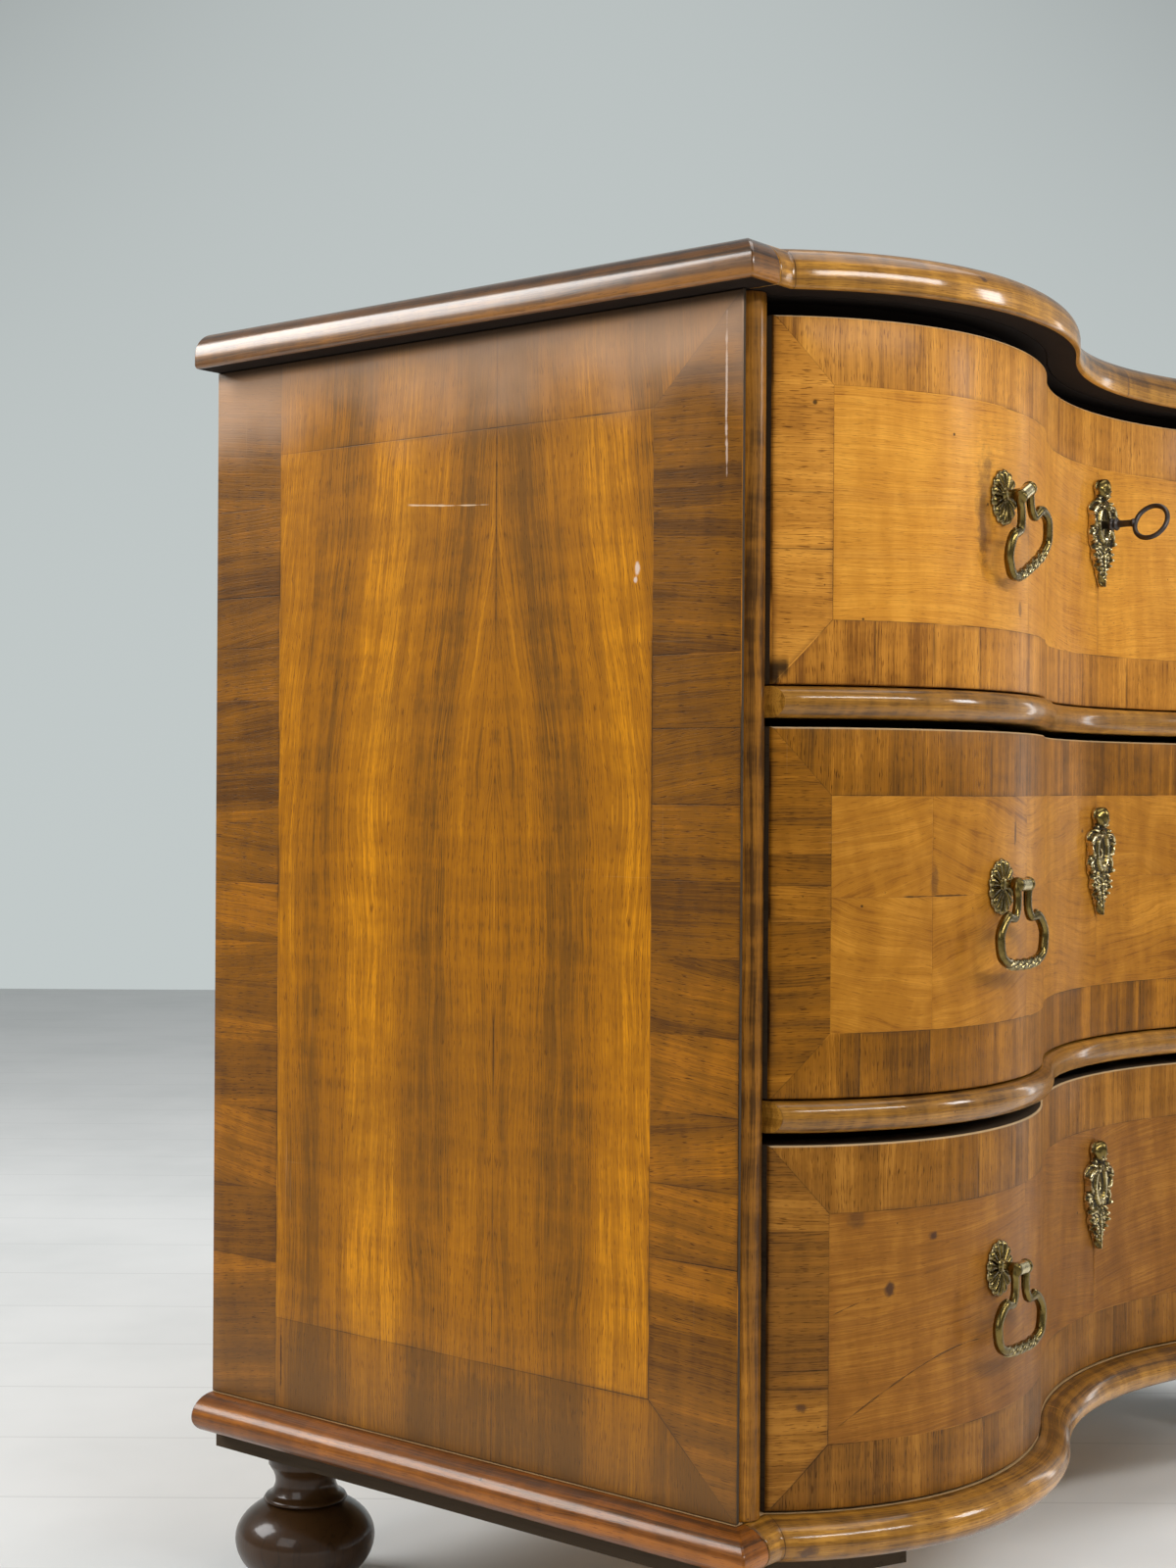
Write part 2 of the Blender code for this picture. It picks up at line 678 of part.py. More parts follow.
def cut_lock_room(front, number, top):
    """Cuts the lock's mortise and the keyhole in a drawer front."""
    key_z = top - KEY_BELOW_TOP
    room = 0.0004
    low = (-LOCK_WIDTH / 2 - room, lock_back(), key_z - LOCK_BELOW_KEY - room)
    high = (LOCK_WIDTH / 2 + room, lock_back() + 0.05, top + 0.01)
    name = f"lock_mortise_{number}"
    combine(front, box_mesh(name, low, high), "DIFFERENCE", name)
    name = f"front_keyhole_{number}"
    hole = keyhole_mesh(name, front_y(0.0) - 0.02, lock_back() + 0.004)
    combine(front, hole, "DIFFERENCE", name, (0.0, 0.0, key_z))


def lock_pieces(number, carrier, looks):
    """The iron lock case, its bolt, the escutcheon and, on the first drawer, the key."""
    top = drawer_top(number)
    key_z = top - KEY_BELOW_TOP
    low_y = lock_back() + GLUE_GAP
    high_y = low_y + LOCK_DEPTH
    low_z = key_z - LOCK_BELOW_KEY
    high_z = top - 0.0005
    half = LOCK_WIDTH / 2
    name = f"lock_case_{number}"
    case = place(
        name,
        shift(box_mesh(name, (-half, low_y, low_z), (half, high_y, high_z)), carrier),
        looks["iron"],
        carrier.location,
        parent=carrier,
    )
    shell = LOCK_SHELL
    room = box_mesh(
        f"lock_room_{number}",
        (-half + shell, low_y - 0.004, low_z + shell),
        (half - shell, high_y - shell, high_z - shell),
    )
    combine(case, room, "DIFFERENCE", room.name)
    bolt_low, bolt_high = bolt_span()
    gap = GLUE_GAP
    mouth = box_mesh(
        f"lock_mouth_{number}",
        (-BOLT_WIDTH / 2 - gap, low_y - 0.004, high_z - 2 * shell),
        (BOLT_WIDTH / 2 + gap, bolt_high + gap / 2, high_z + 0.004),
    )
    combine(case, mouth, "DIFFERENCE", mouth.name)
    name = f"lock_bolt_{number}"
    height = high_z - (key_z + BOLT_ABOVE_KEY)
    centre = Vector((0.0, (bolt_low + bolt_high) / 2, key_z + BOLT_ABOVE_KEY))
    mesh = box_mesh(
        name,
        (-BOLT_WIDTH / 2, -BOLT_THICK / 2, 0.0),
        (BOLT_WIDTH / 2, BOLT_THICK / 2, height),
    )
    place(name, mesh, looks["iron"], centre, parent=carrier)

    face = front_y(KEY_PLATE_HALF) - 2 * GLUE_GAP
    plate_z = key_z - KEY_ABOVE_PLATE
    name = f"escutcheon_{number}"
    plate = place(name, escutcheon_mesh(name), looks["brass"], (0.0, face, plate_z), parent=carrier)
    hole = keyhole_mesh(f"keyhole_{number}", -0.02, 0.004)
    combine(plate, hole, "DIFFERENCE", f"keyhole_{number}", (0.0, face, key_z))
    if number == 1:
        key_piece(key_z, face, carrier, looks)


def escutcheon_mesh(name):
    """A cast rocaille key plate: finial, scrolled shoulders, shield body and a long leaf tip.

    The outline is raised in two steps towards the middle; the back is flat at y = 0.
    """
    wide = KEY_PLATE_HALF / 0.0175
    half = (
        (0.0394, 0.0022),
        (0.0370, 0.0066),
        (0.0325, 0.0084),
        (0.0285, 0.0064),
        (0.0250, 0.0072),
        (0.0215, 0.0138),
        (0.0175, 0.0175),
        (0.0120, 0.0158),
        (0.0050, 0.0155),
        (-0.0010, 0.0168),
        (-0.0065, 0.0158),
        (-0.0105, 0.0132),
        (-0.0145, 0.0122),
        (-0.0190, 0.0126),
        (-0.0235, 0.0092),
        (-0.0285, 0.0064),
        (-0.0335, 0.0036),
        (-0.0392, 0.0010),
    )
    outline = [(x * wide, z) for z, x in half] + [(-x * wide, z) for z, x in reversed(half)]
    work = bmesh.new()
    rings = []
    for y, share, lift in ((0.0, 1.0, 1.0), (-0.0014, 1.0, 1.0), (-0.0032, 0.80, 0.965)):
        rings.append([work.verts.new((x * share, y, z * lift)) for x, z in outline])
    count = len(outline)
    for near, far in zip(rings, rings[1:]):
        for i in range(count):
            j = (i + 1) % count
            work.faces.new((near[i], near[j], far[j], far[i]))
    work.faces.new(list(reversed(rings[0])))
    crest = [work.verts.new((0.0, -0.0040, z * 0.95)) for z, _ in half]
    right = rings[-1][: len(half)]
    left = list(reversed(rings[-1][len(half):]))
    for i in range(len(half) - 1):
        work.faces.new((right[i], right[i + 1], crest[i + 1], crest[i]))
        work.faces.new((crest[i], crest[i + 1], left[i + 1], left[i]))
    work.faces.new((right[0], crest[0], left[0]))
    work.faces.new((right[-1], left[-1], crest[-1]))
    return finish_mesh(name, work, math.radians(25))


def turned_mesh(name, profile, steps):
    """A profile of (radius, y) turned about the Y axis."""
    work = bmesh.new()
    points = [work.verts.new((r, y, 0.0)) for r, y in profile]
    edges = [work.edges.new(pair) for pair in zip(points, points[1:])]
    bmesh.ops.spin(
        work,
        geom=points + edges,
        cent=(0.0, 0.0, 0.0),
        axis=(0.0, 1.0, 0.0),
        angle=math.tau,
        steps=steps,
        use_merge=True,
    )
    return finish_mesh(name, work, math.radians(40))


def key_piece(key_z, face, carrier, looks):
    """The key: a turned shank with its bit inside the lock, and an open oval bow."""
    shaft = KEY_SHAFT_RADIUS
    collar = KEY_COLLAR_RADIUS
    ring_start = -(KEY_BOW_OUT - KEY_BOW_LONG)
    tip = lock_back() - front_y(0.0) + 0.0085
    front_of_plate = face - 0.0050 - front_y(0.0)
    profile = [
        (0.0, tip),
        (shaft, tip),
        (shaft, front_of_plate),
        (collar, front_of_plate - 0.0006),
        (collar, front_of_plate - 0.0105),
        (shaft * 0.86, front_of_plate - 0.0125),
        (shaft * 0.86, ring_start + 0.0035),
        (collar * 0.9, ring_start + 0.0022),
        (collar * 0.9, ring_start + 0.0008),
        (0.0020, ring_start - 0.0009),
        (0.0, ring_start - 0.0009),
    ]
    spot = (0.0, front_y(0.0), key_z)
    key = place("key", turned_mesh("key", profile, 12), looks["iron"], spot, parent=carrier)
    key.rotation_euler = (0.0, KEY_TURN, 0.0)
    steps = 18
    rings = []
    for i in range(steps):
        angle = math.tau * i / steps
        along = KEY_BOW_LONG * math.cos(angle)
        centre = Vector((0.0, along - KEY_BOW_OUT, KEY_BOW_WIDE * math.sin(angle)))
        out = Vector((0.0, math.cos(angle) / KEY_BOW_LONG, math.sin(angle) / KEY_BOW_WIDE)).normalized()
        ring = []
        for j in range(6):
            turn = math.tau * j / 6
            round_wire = out * math.cos(turn) + Vector((1.0, 0.0, 0.0)) * math.sin(turn)
            ring.append(centre + KEY_BOW_WIRE * round_wire)
        rings.append(ring)
    combine_child(key, loop_mesh("key_bow", rings), "UNION", "key_bow")
    bit = box_mesh("key_bit", (-0.0014, tip - 0.0075, -KEY_BIT_REACH), (0.0014, tip - 0.0005, 0.0))
    combine_child(key, bit, "UNION", "key_bit")


def combine_child(target, helper_mesh, operation, name):
    """Joins or cuts a helper that is made in its piece's own frame."""
    combine(target, helper_mesh, operation, name)
    helper = bpy.data.objects[name]
    helper.parent = target


def loop_mesh(name, rings):
    """Rings bridged into a closed hoop."""
    work = bmesh.new()
    loops = [[work.verts.new(point) for point in ring] for ring in rings]
    count = len(loops[0])
    for i, near in enumerate(loops):
        far = loops[(i + 1) % len(loops)]
        for j in range(count):
            k = (j + 1) % count
            work.faces.new((near[j], near[k], far[k], far[j]))
    return finish_mesh(name, work, math.radians(60))


def plate_mesh(post_turn=0.0):
    """A pull's back plate with its stalk and barrel, in the pull's own frame.

    X runs along the drawer front, -Y points outwards and the plate's back is at y = 0.
    The post with its barrel may have turned in the plate by post_turn.
    """
    work = bmesh.new()
    around = 2 * PLATE_RIBS
    rings = []
    for share, out, rib in ((0.96, 0.0, 0.0), (1.0, 0.0014, 0.035), (0.66, 0.92, 0.0), (0.28, 0.80, 0.0)):
        ring = []
        for i in range(around):
            angle = math.tau * i / around
            crest = 1 if i % 2 == 0 else -1
            reach = share + rib * crest
            height = out if out < 0.01 else PLATE_RISE * out + 0.0004 * crest
            ring.append(work.verts.new((
                PLATE_HALF_WIDTH * reach * math.sin(angle),
                -height,
                PLATE_HALF_HEIGHT * reach * math.cos(angle),
            )))
        rings.append(ring)
    for near, far in zip(rings, rings[1:]):
        for i in range(around):
            j = (i + 1) % around
            work.faces.new((near[i], near[j], far[j], far[i]))
    work.faces.new(list(reversed(rings[0])))
    work.faces.new(rings[-1])
    plate = bpy.data.objects.new("pull_plate_form", finish_mesh("pull_plate_form", work, math.radians(25)))
    bpy.context.scene.collection.objects.link(plate)
    hide_helper(plate)
    stalk_end = PIVOT_OUT - BARREL_RADIUS + 0.0010
    stalk = turned_mesh(
        "stalk",
        [
            (0.0, -0.0012),
            (STALK_RADIUS + 0.0012, -0.0012),
            (STALK_RADIUS + 0.0010, -0.0050),
            (STALK_RADIUS - 0.0004, -0.0078),
            (STALK_RADIUS, -stalk_end),
            (0.0, -stalk_end),
        ],
        10,
    )
    post = Matrix.Translation((0.0, 0.0, PIVOT_RISE)) @ Matrix.Rotation(post_turn, 4, "Y")
    barrel = barrel_mesh()
    stalk.transform(post)
    barrel.transform(post)
    combine(plate, stalk, "UNION", "pull_stalk")
    combine(plate, barrel, "UNION", "pull_barrel")
    bpy.context.view_layer.update()
    graph = bpy.context.evaluated_depsgraph_get()
    joined = bpy.data.meshes.new_from_object(plate.evaluated_get(graph))
    joined.name = "pull_plate"
    return joined


def barrel_mesh():
    """The barrel that carries the bail: a short tube along X with rounded ends."""
    work = bmesh.new()
    around = 12
    rings = []
    for x, radius in (
        (-BARREL_HALF, BARREL_BORE),
        (-BARREL_HALF, BARREL_RADIUS * 0.80),
        (-BARREL_HALF * 0.62, BARREL_RADIUS),
        (BARREL_HALF * 0.62, BARREL_RADIUS),
        (BARREL_HALF, BARREL_RADIUS * 0.80),
        (BARREL_HALF, BARREL_BORE),
    ):
        ring = []
        for i in range(around):
            angle = math.tau * i / around
            ring.append((x, -PIVOT_OUT + radius * math.cos(angle), radius * math.sin(angle)))
        rings.append(ring)
    work.free()
    return loop_mesh("barrel", rings)


def bail_path():
    """The bail's centre line in its own plane, as (x, z, radius), from pin to pin."""
    wire = BAIL_WIRE_RADIUS
    arm = BARREL_HALF + wire + 0.0005
    wide = BAIL_HALF_WIDTH
    neck = BAIL_NECK_DROP
    drop = BAIL_DROP
    half = [
        (BARREL_HALF - 0.0036, 0.0, BAIL_PIN_RADIUS),
        (BARREL_HALF + 0.0004, 0.0, BAIL_PIN_RADIUS),
        (arm - 0.0008, -0.0004, wire * 0.92),
        (arm + 0.0004, -0.0032, wire),
        (arm - 0.0006, -neck * 0.50, wire * 0.95),
        (arm - 0.0002, -neck * 0.80, wire * 0.95),
        (arm + 0.0030, -neck - 0.0022, wire),
        (arm + 0.0068, -neck - 0.0024, wire * 1.10),
        (wide * 0.66, -neck - 0.0006, wire * 1.25),
        (wide * 0.86, -neck - 0.0048, wire * 1.05),
        (wide * 0.985, -neck - 0.0108, wire),
        (wide, -neck - 0.0160, wire),
        (wide * 0.93, -drop + 0.0062, wire * 1.05),
        (wide * 0.76, -drop + 0.0026, wire * 1.15),
        (wide * 0.50, -drop + 0.0006, wire * 1.32),
        (wide * 0.24, -drop, BAIL_GRIP_RADIUS * 0.97),
        (0.0, -drop, BAIL_GRIP_RADIUS),
    ]
    return [(-x, z, r) for x, z, r in half] + [(x, z, r) for x, z, r in reversed(half[:-1])]


def bail_mesh(sides=7):
    """The bail: a wire of changing thickness swept along its path in the XZ plane."""
    path = bail_path()
    rings = []
    for i, (x, z, radius) in enumerate(path):
        before = path[max(i - 1, 0)]
        after = path[min(i + 1, len(path) - 1)]
        along = Vector((after[0] - before[0], 0.0, after[1] - before[1])).normalized()
        across = Vector((-along.z, 0.0, along.x))
        ring = []
        for j in range(sides):
            turn = math.tau * (j + 0.5) / sides
            round_wire = across * math.cos(turn) + Vector((0.0, 1.0, 0.0)) * math.sin(turn)
            ring.append(Vector((x, 0.0, z)) + radius * round_wire)
        rings.append(ring)
    return ring_mesh("bail", rings, math.radians(50))


SHARED = {}


def pull_pieces(number, side, label, carrier, looks):
    """One pull: its plate seated on the bulge, and its bail hanging from the barrel."""
    turn = POST_TURNS.get((number, label), 0.0)
    if turn not in SHARED:
        SHARED[turn] = plate_mesh(turn)
    if "bail" not in SHARED:
        SHARED["bail"] = bail_mesh()
    x = -(HALF - PULL_FROM_SIDE)
    lean = math.asin((x - CROWN_X) / (CROWN_INNER_RADIUS if x > CROWN_X else OUTER_RADIUS))
    out = Vector((math.sin(lean), -math.cos(lean), 0.0))
    z = drawer_top(number) - PULL_BELOW_TOP[number]
    seat = Vector((x, front_y(x), z)) + out * GLUE_GAP
    pivot = seat + out * PIVOT_OUT + Vector((0.0, 0.0, PIVOT_RISE))
    if side > 0:
        seat.x, pivot.x, lean = -seat.x, -pivot.x, -lean
    place(f"pull_plate_{number}_{label}", SHARED[turn], looks["brass"], seat, lean, carrier)
    bail = place(f"bail_{number}_{label}", SHARED["bail"], looks["brass"], pivot, lean, carrier)
    bail.rotation_euler = (-BAIL_RESTS.get((number, label), 0.0), turn, lean)


def build():
    """Makes the whole chest."""
    clear_scene()
    looks = {
        "case": material("walnut_case", (0.36, 0.19, 0.075), 0.35),
        "front": material("walnut_front", (0.45, 0.25, 0.09), 0.35),
        "edge": material("walnut_edge", (0.25, 0.12, 0.05), 0.28),
        "dark": material("stained_foot", (0.055, 0.030, 0.020), 0.18),
        "inner": material("inner_pine", (0.42, 0.29, 0.16), 0.7),
        "brass": material("old_brass", (0.30, 0.26, 0.17), 0.35, 1.0),
        "iron": material("old_iron", (0.09, 0.08, 0.075), 0.5, 1.0),
    }
    top_pieces(looks)
    base_pieces(looks)
    case_pieces(looks)
    for number in (1, 2, 3):
        drawer_pieces(number, looks)


build()
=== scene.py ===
"""Looks of a serpentine walnut chest of drawers on turned bun feet.

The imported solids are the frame. Each class below builds and dresses one sub-assembly of the chest, in
metres, on the same axes: the front looks along -Y and +X is to the viewer's right.
"""

import logging
import math
from collections.abc import Callable, Iterable, Sequence
from dataclasses import dataclass, field, replace
from enum import Enum
from random import Random

import bmesh
import bpy
from bmesh.types import BMesh
from bpy.types import Material, Mesh, Node, NodeSocket, NodeTree, Object
from mathutils import Matrix, Vector


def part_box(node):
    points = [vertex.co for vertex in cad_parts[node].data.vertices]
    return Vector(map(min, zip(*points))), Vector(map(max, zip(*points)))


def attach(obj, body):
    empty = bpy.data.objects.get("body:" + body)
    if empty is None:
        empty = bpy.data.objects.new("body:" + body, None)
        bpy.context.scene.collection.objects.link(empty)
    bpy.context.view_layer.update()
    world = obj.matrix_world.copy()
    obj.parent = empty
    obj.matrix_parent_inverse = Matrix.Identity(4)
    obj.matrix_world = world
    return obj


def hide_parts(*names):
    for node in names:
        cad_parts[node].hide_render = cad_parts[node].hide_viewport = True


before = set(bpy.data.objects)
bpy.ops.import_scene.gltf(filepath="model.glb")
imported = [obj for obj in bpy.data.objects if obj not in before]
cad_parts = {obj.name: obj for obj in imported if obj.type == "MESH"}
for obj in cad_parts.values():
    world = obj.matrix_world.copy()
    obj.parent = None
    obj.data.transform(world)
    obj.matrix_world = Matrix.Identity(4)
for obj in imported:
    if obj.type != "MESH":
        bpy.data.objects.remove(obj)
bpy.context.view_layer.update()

LOG = logging.getLogger("chest")
GAP = 0.0003

Point = tuple[float, float]
Colour = tuple[float, float, float]
Marks = tuple[tuple[float, ...], ...]
Placer = Callable[[float, float, float], Vector]
Given = dict[str, object]


def srgb(red: int, green: int, blue: int) -> Colour:
    """A display colour, each part from 0 to 255, as the linear values that shaders use."""
    shares = (value / 255 for value in (red, green, blue))
    return tuple(s / 12.92 if s <= 0.04045 else ((s + 0.055) / 1.055) ** 2.4 for s in shares)


# Node trees and finishes


def sign(operation: str, swapped: bool = False) -> Callable[["Signal", object], "Signal"]:
    """The method behind an arithmetic sign: it places a node that works on two signals."""

    def act(self: "Signal", other: object) -> "Signal":
        values = (other, self) if swapped else (self, other)
        kind = "ShaderNodeVectorMath" if self.socket.type == "VECTOR" else "ShaderNodeMath"
        return self.net.add(kind, dict(enumerate(values)), operation=operation)[0]

    return act


class Signal:
    """A node's output, which can be added, multiplied and compared like a number."""

    def __init__(self, net: "Net", socket: NodeSocket) -> None:
        """Takes the output and its net."""
        self.net, self.socket = net, socket

    def __abs__(self) -> "Signal":
        """Its distance from 0."""
        return self.net.math("ABSOLUTE", self)

    __add__ = sign("ADD")
    __sub__ = sign("SUBTRACT")
    __rsub__ = sign("SUBTRACT", True)
    __mul__ = sign("MULTIPLY")
    __truediv__ = sign("DIVIDE")
    __pow__ = sign("POWER")
    __gt__ = sign("GREATER_THAN")


class Placed:
    """A placed node, whose outputs are read by name or number."""

    def __init__(self, net: "Net", node: Node) -> None:
        """Takes the node and its net."""
        self.net, self.node = net, node

    def __getitem__(self, key: str | int) -> Signal:
        """One of its outputs."""
        return Signal(self.net, self.node.outputs[key])


class Net:
    """Short ways to place and link nodes in one tree."""

    def __init__(self, tree: NodeTree) -> None:
        """Takes the tree to work in."""
        self.tree = tree

    def add(self, kind: str, inputs: Given | None = None, **settings: object) -> Placed:
        """Places a node.

        Args:
            kind: the node's Blender type.
            inputs: values or signals for its inputs, by name or number.
            settings: the node's own settings.

        Returns:
            The placed node.
        """
        node = self.tree.nodes.new(kind)
        for name, value in settings.items():
            setattr(node, name, value)
        self.feed(node, inputs or {})
        return Placed(self, node)

    def feed(self, node: Node, inputs: Given) -> None:
        """Links signals to a node's inputs, or writes plain values on them."""
        for key, value in inputs.items():
            socket = node.inputs[key]
            if isinstance(value, Signal):
                self.tree.links.new(value.socket, socket)
            elif isinstance(value, tuple) and len(value) == 3 and socket.type == "RGBA":
                socket.default_value = (*value, 1.0)
            else:
                socket.default_value = value

    def math(self, operation: str, *values: object) -> Signal:
        """A Math node's result."""
        return self.add("ShaderNodeMath", dict(enumerate(values)), operation=operation)[0]

    def between(self, value: object, low: float, high: float) -> Signal:
        """A smooth step from 0 at low to 1 at high."""
        limits = {"Value": value, "From Min": low, "From Max": high}
        return self.add("ShaderNodeMapRange", limits, interpolation_type="SMOOTHSTEP")["Result"]

    def mix(self, share: object, first: object, second: object, blend: str = "MIX") -> Signal:
        """A colour mixed from two."""
        inputs = {0: share, 6: first, 7: second}
        return self.add("ShaderNodeMix", inputs, data_type="RGBA", blend_type=blend)[2]

    def noise(self, where: Signal, scale: float = 1.0, detail: float = 2.0, rough: float = 0.5) -> Signal:
        """A noise texture's value at a place."""
        inputs = {"Vector": where, "Scale": scale, "Detail": detail, "Roughness": rough}
        return self.add("ShaderNodeTexNoise", inputs)[0]

    def parts(self, vector: Signal) -> Placed:
        """The X, Y and Z of a vector."""
        return self.add("ShaderNodeSeparateXYZ", {"Vector": vector})

    def ramp(self, value: Signal, stops: Sequence[tuple[float, Colour]]) -> Signal:
        """A colour ramp's colour."""
        made = self.add("ShaderNodeValToRGB", {"Fac": value})
        line = made.node.color_ramp
        while len(line.elements) < len(stops):
            line.elements.new(1.0)
        for element, (place, colour) in zip(line.elements, stops):
            element.position = place
            element.color = (*colour, 1.0)
        return made[0]

    def attribute(self, name: str) -> Placed:
        """The node that reads a mesh attribute."""
        return self.add("ShaderNodeAttribute", attribute_name=name)

    def bump(self, height: Signal, strength: float) -> Signal:
        """A normal that follows a height."""
        return self.add("ShaderNodeBump", {"Height": height, "Strength": strength, "Distance": 0.0003})[0]


class ShaderGroup:
    """A shader node group that is built once and placed in many materials."""

    made: dict[str, NodeTree] = {}
    kinds = {"VALUE": "NodeSocketFloat", "RGBA": "NodeSocketColor", "VECTOR": "NodeSocketVector"}

    @classmethod
    def place(cls, net: Net, name: str, inputs: Given, fill: Callable[[Net, Given], Given]) -> Placed:
        """Places a group in a material, and makes it first where it isn't there yet.

        Args:
            net: the material's net.
            name: the group's name.
            inputs: its inputs, with the values or signals for this material.
            fill: builds the inside from its net and inputs, and gives the outputs.

        Returns:
            The placed group.
        """
        if name not in cls.made:
            tree = cls.made[name] = bpy.data.node_groups.new(name, "ShaderNodeTree")
            for key, value in inputs.items():
                kind = "RGBA" if isinstance(value, tuple) else "VALUE"
                kind = value.socket.type if isinstance(value, Signal) else kind
                tree.interface.new_socket(key, in_out="INPUT", socket_type=cls.kinds[kind])
            inside = Net(tree)
            start = inside.add("NodeGroupInput")
            results = fill(inside, {key: start[key] for key in inputs})
            for key, value in results.items():
                tree.interface.new_socket(key, in_out="OUTPUT", socket_type=cls.kinds[value.socket.type])
            inside.add("NodeGroupOutput", results)
        return net.add("ShaderNodeGroup", inputs, node_tree=cls.made[name])


def fill_figure(net: Net, given: Given) -> Given:
    """Inside of the walnut figure: growth bands, wavy rings, fibres, mineral streaks, mottle and pores."""
    place = given["Place"]
    slow = net.noise(place * (5.0, 14.0, 1.0), 1.0, 3.0) - 0.5
    swayed = place + net.add("ShaderNodeCombineXYZ", {"Y": slow * given["Sway"]})[0]

    def layer(along: float, across: float, detail: float, low: float, high: float) -> Signal:
        return net.between(net.noise(swayed * (along, across, 1.0), 1.0, detail, 0.55), low, high)

    fibre = layer(18.0, 1100.0, 2.0, 0.3, 0.7)
    lift = given["Base"]
    for share, value in (
        ("Streaks", layer(1.3, 34.0, 3.0, 0.36, 0.64)), ("Fine", layer(4.0, 190.0, 3.0, 0.34, 0.66)),
        ("Fibre", fibre), ("Mottle", layer(60.0, 20.0, 3.0, 0.3, 0.7))
    ):
        lift = (value - 0.5) * given[share] + lift
    warp = net.noise(place * (7.0, 15.0, 1.0))
    phase = warp * given["Ring warp"] + net.parts(swayed)[1] * given["Ring rate"]
    ring = (net.math("SINE", phase) * 0.5 + 0.5) ** 5.0
    ring = ring * net.between(net.noise(place, 26.0), 0.32, 0.62)
    lift = lift - ring * given["Rings"]
    warm = net.mix(net.between(lift, 0.0, 0.5), given["Dark"], given["Middle"])
    colour = net.mix(net.between(lift, 0.45, 1.0), warm, given["Light"])
    colour = net.mix(layer(1.1, 62.0, 3.0, 0.58, 0.72) * given["Mineral"], colour, given["Stain"])
    pores = layer(110.0, 1500.0, 1.0, 0.6, 0.68) * given["Pores"]
    colour = net.mix(pores, colour, (0.22, 0.14, 0.09), "MULTIPLY")
    return {"Colour": colour, "Height": fibre * 0.5 - pores}


def fill_seams(net: Net, given: Given) -> Given:
    """Inside of the seam lines: a fine broken line round each veneer leaf, pale along some stretches."""
    place = given["Place"]
    near = net.attribute("Seam")
    parts = net.add("ShaderNodeSeparateColor", {"Color": near["Color"]})
    gap = near["Alpha"]
    for i in range(3):
        gap = net.math("MINIMUM", gap, parts[i])
    line = 1.0 - net.between((net.noise(place, 260.0) - 0.5) * 0.0004 + gap, 0.00005, given["Width"])
    strength = net.between(net.noise(place, 16.0), 0.38, 0.62)
    # Shade: a soft dark band near every seam, edge and marked crease. It is dirt along the joints, and
    # painted shade at the board edges and in the creases.
    shade = (1.0 - net.between(gap, 0.0, 0.0035)) * (strength * 0.42)
    pale = net.between(net.noise(place, 9.0, 1.0), 0.58, 0.62)
    return {"Line": line * (strength * 0.72 + 0.28), "Shade": shade, "Pale": pale}


def fill_age(net: Net, given: Given) -> Given:
    """Inside of the marks of age: worm holes, dark specks, grime clouds and fine scratches."""
    place = given["Place"]

    def dots(scale: object, low: float, high: float, rare: float) -> Signal:
        cells = net.add("ShaderNodeTexVoronoi", {"Vector": place, "Scale": scale, "Randomness": 1.0})
        chance = net.add("ShaderNodeSeparateColor", {"Color": cells["Color"]})[0]
        return (1.0 - net.between(cells["Distance"], low, high)) * (chance > rare)

    pinholes = dots(120.0, 0.04, 0.09, 0.86) * 0.7
    holes = net.math("MAXIMUM", dots(given["Holes"], 0.02, 0.042, 0.72), pinholes)
    grime = net.between(net.noise(place, 8.0, 4.0, 0.6), 0.42, 0.68)
    thin = net.between(net.noise(place * (240.0, 240.0, 9.0)), 0.7, 0.8)
    level = net.between(net.noise(place * (12.0, 12.0, 330.0)), 0.72, 0.8)
    patchy = net.between(net.noise(place, 5.0), 0.5, 0.7)
    return {"Holes": holes, "Grime": grime, "Scratches": net.math("MAXIMUM", thin, level) * patchy}


def fill_spot(net: Net, given: Given) -> Given:
    """Inside of a soft spot, such as a knot or a stain, at a place on the face."""
    aside = (given["Across"] - given["Middle"]) / given["Wide"]
    rise = (given["Up"] - given["Height"]) / given["High"]
    ragged = (net.noise(given["Place"], 150.0, 3.0, 0.6) - 0.5) * 1.5
    reach = ragged + (aside * aside + rise * rise) ** 0.5
    return {"Mask": 1.0 - net.between(reach, 0.35, 1.0)}


def fill_crack(net: Net, given: Given) -> Given:
    """Inside of a hair line, such as a crack or a scratch, that runs between two places on the face."""
    share = (given["Across"] - given["Start"]) / given["Run"]
    held = net.between(share, 0.0, 0.08) * net.between(share, 1.0, 0.92)
    line = given["Rise"] * share + given["Height"] + given["Bow"] * ((1.0 - share) * share)
    ragged = (net.noise(given["Place"], 90.0, 3.0) - 0.5) * 0.0022
    gap = abs(abs(given["Up"] - line) + ragged)
    return {"Mask": (1.0 - net.between(gap, 0.0001, given["Width"])) * held}


def fill_relief(net: Net, given: Given) -> Given:
    """Inside of the relief: the worn high edges and the dirty hollows of a piece, from its own attribute."""
    value = net.attribute("Relief")["Fac"] + (net.noise(given["Place"], 420.0, 3.0) - 0.5) * 0.13
    return {"High": net.between(value, 0.58, 0.85), "Hollow": 1.0 - net.between(value, 0.18, 0.48)}


class Finish:
    """A finish that is made into a material once, whichever pieces wear it."""

    made: dict[str, Material] = {}
    name: str
    slot: str

    def material(self) -> Material:
        """The finish's material."""
        if self.name not in self.made:
            material = self.made[self.name] = bpy.data.materials.new(self.name)
            material.use_nodes = True
            self.dress(Net(material.node_tree), material.node_tree.nodes["Principled BSDF"])
        return self.made[self.name]

    def dress(self, net: Net, shader: Node) -> None:
        """Builds the nodes round the material's shader."""
        raise NotImplementedError


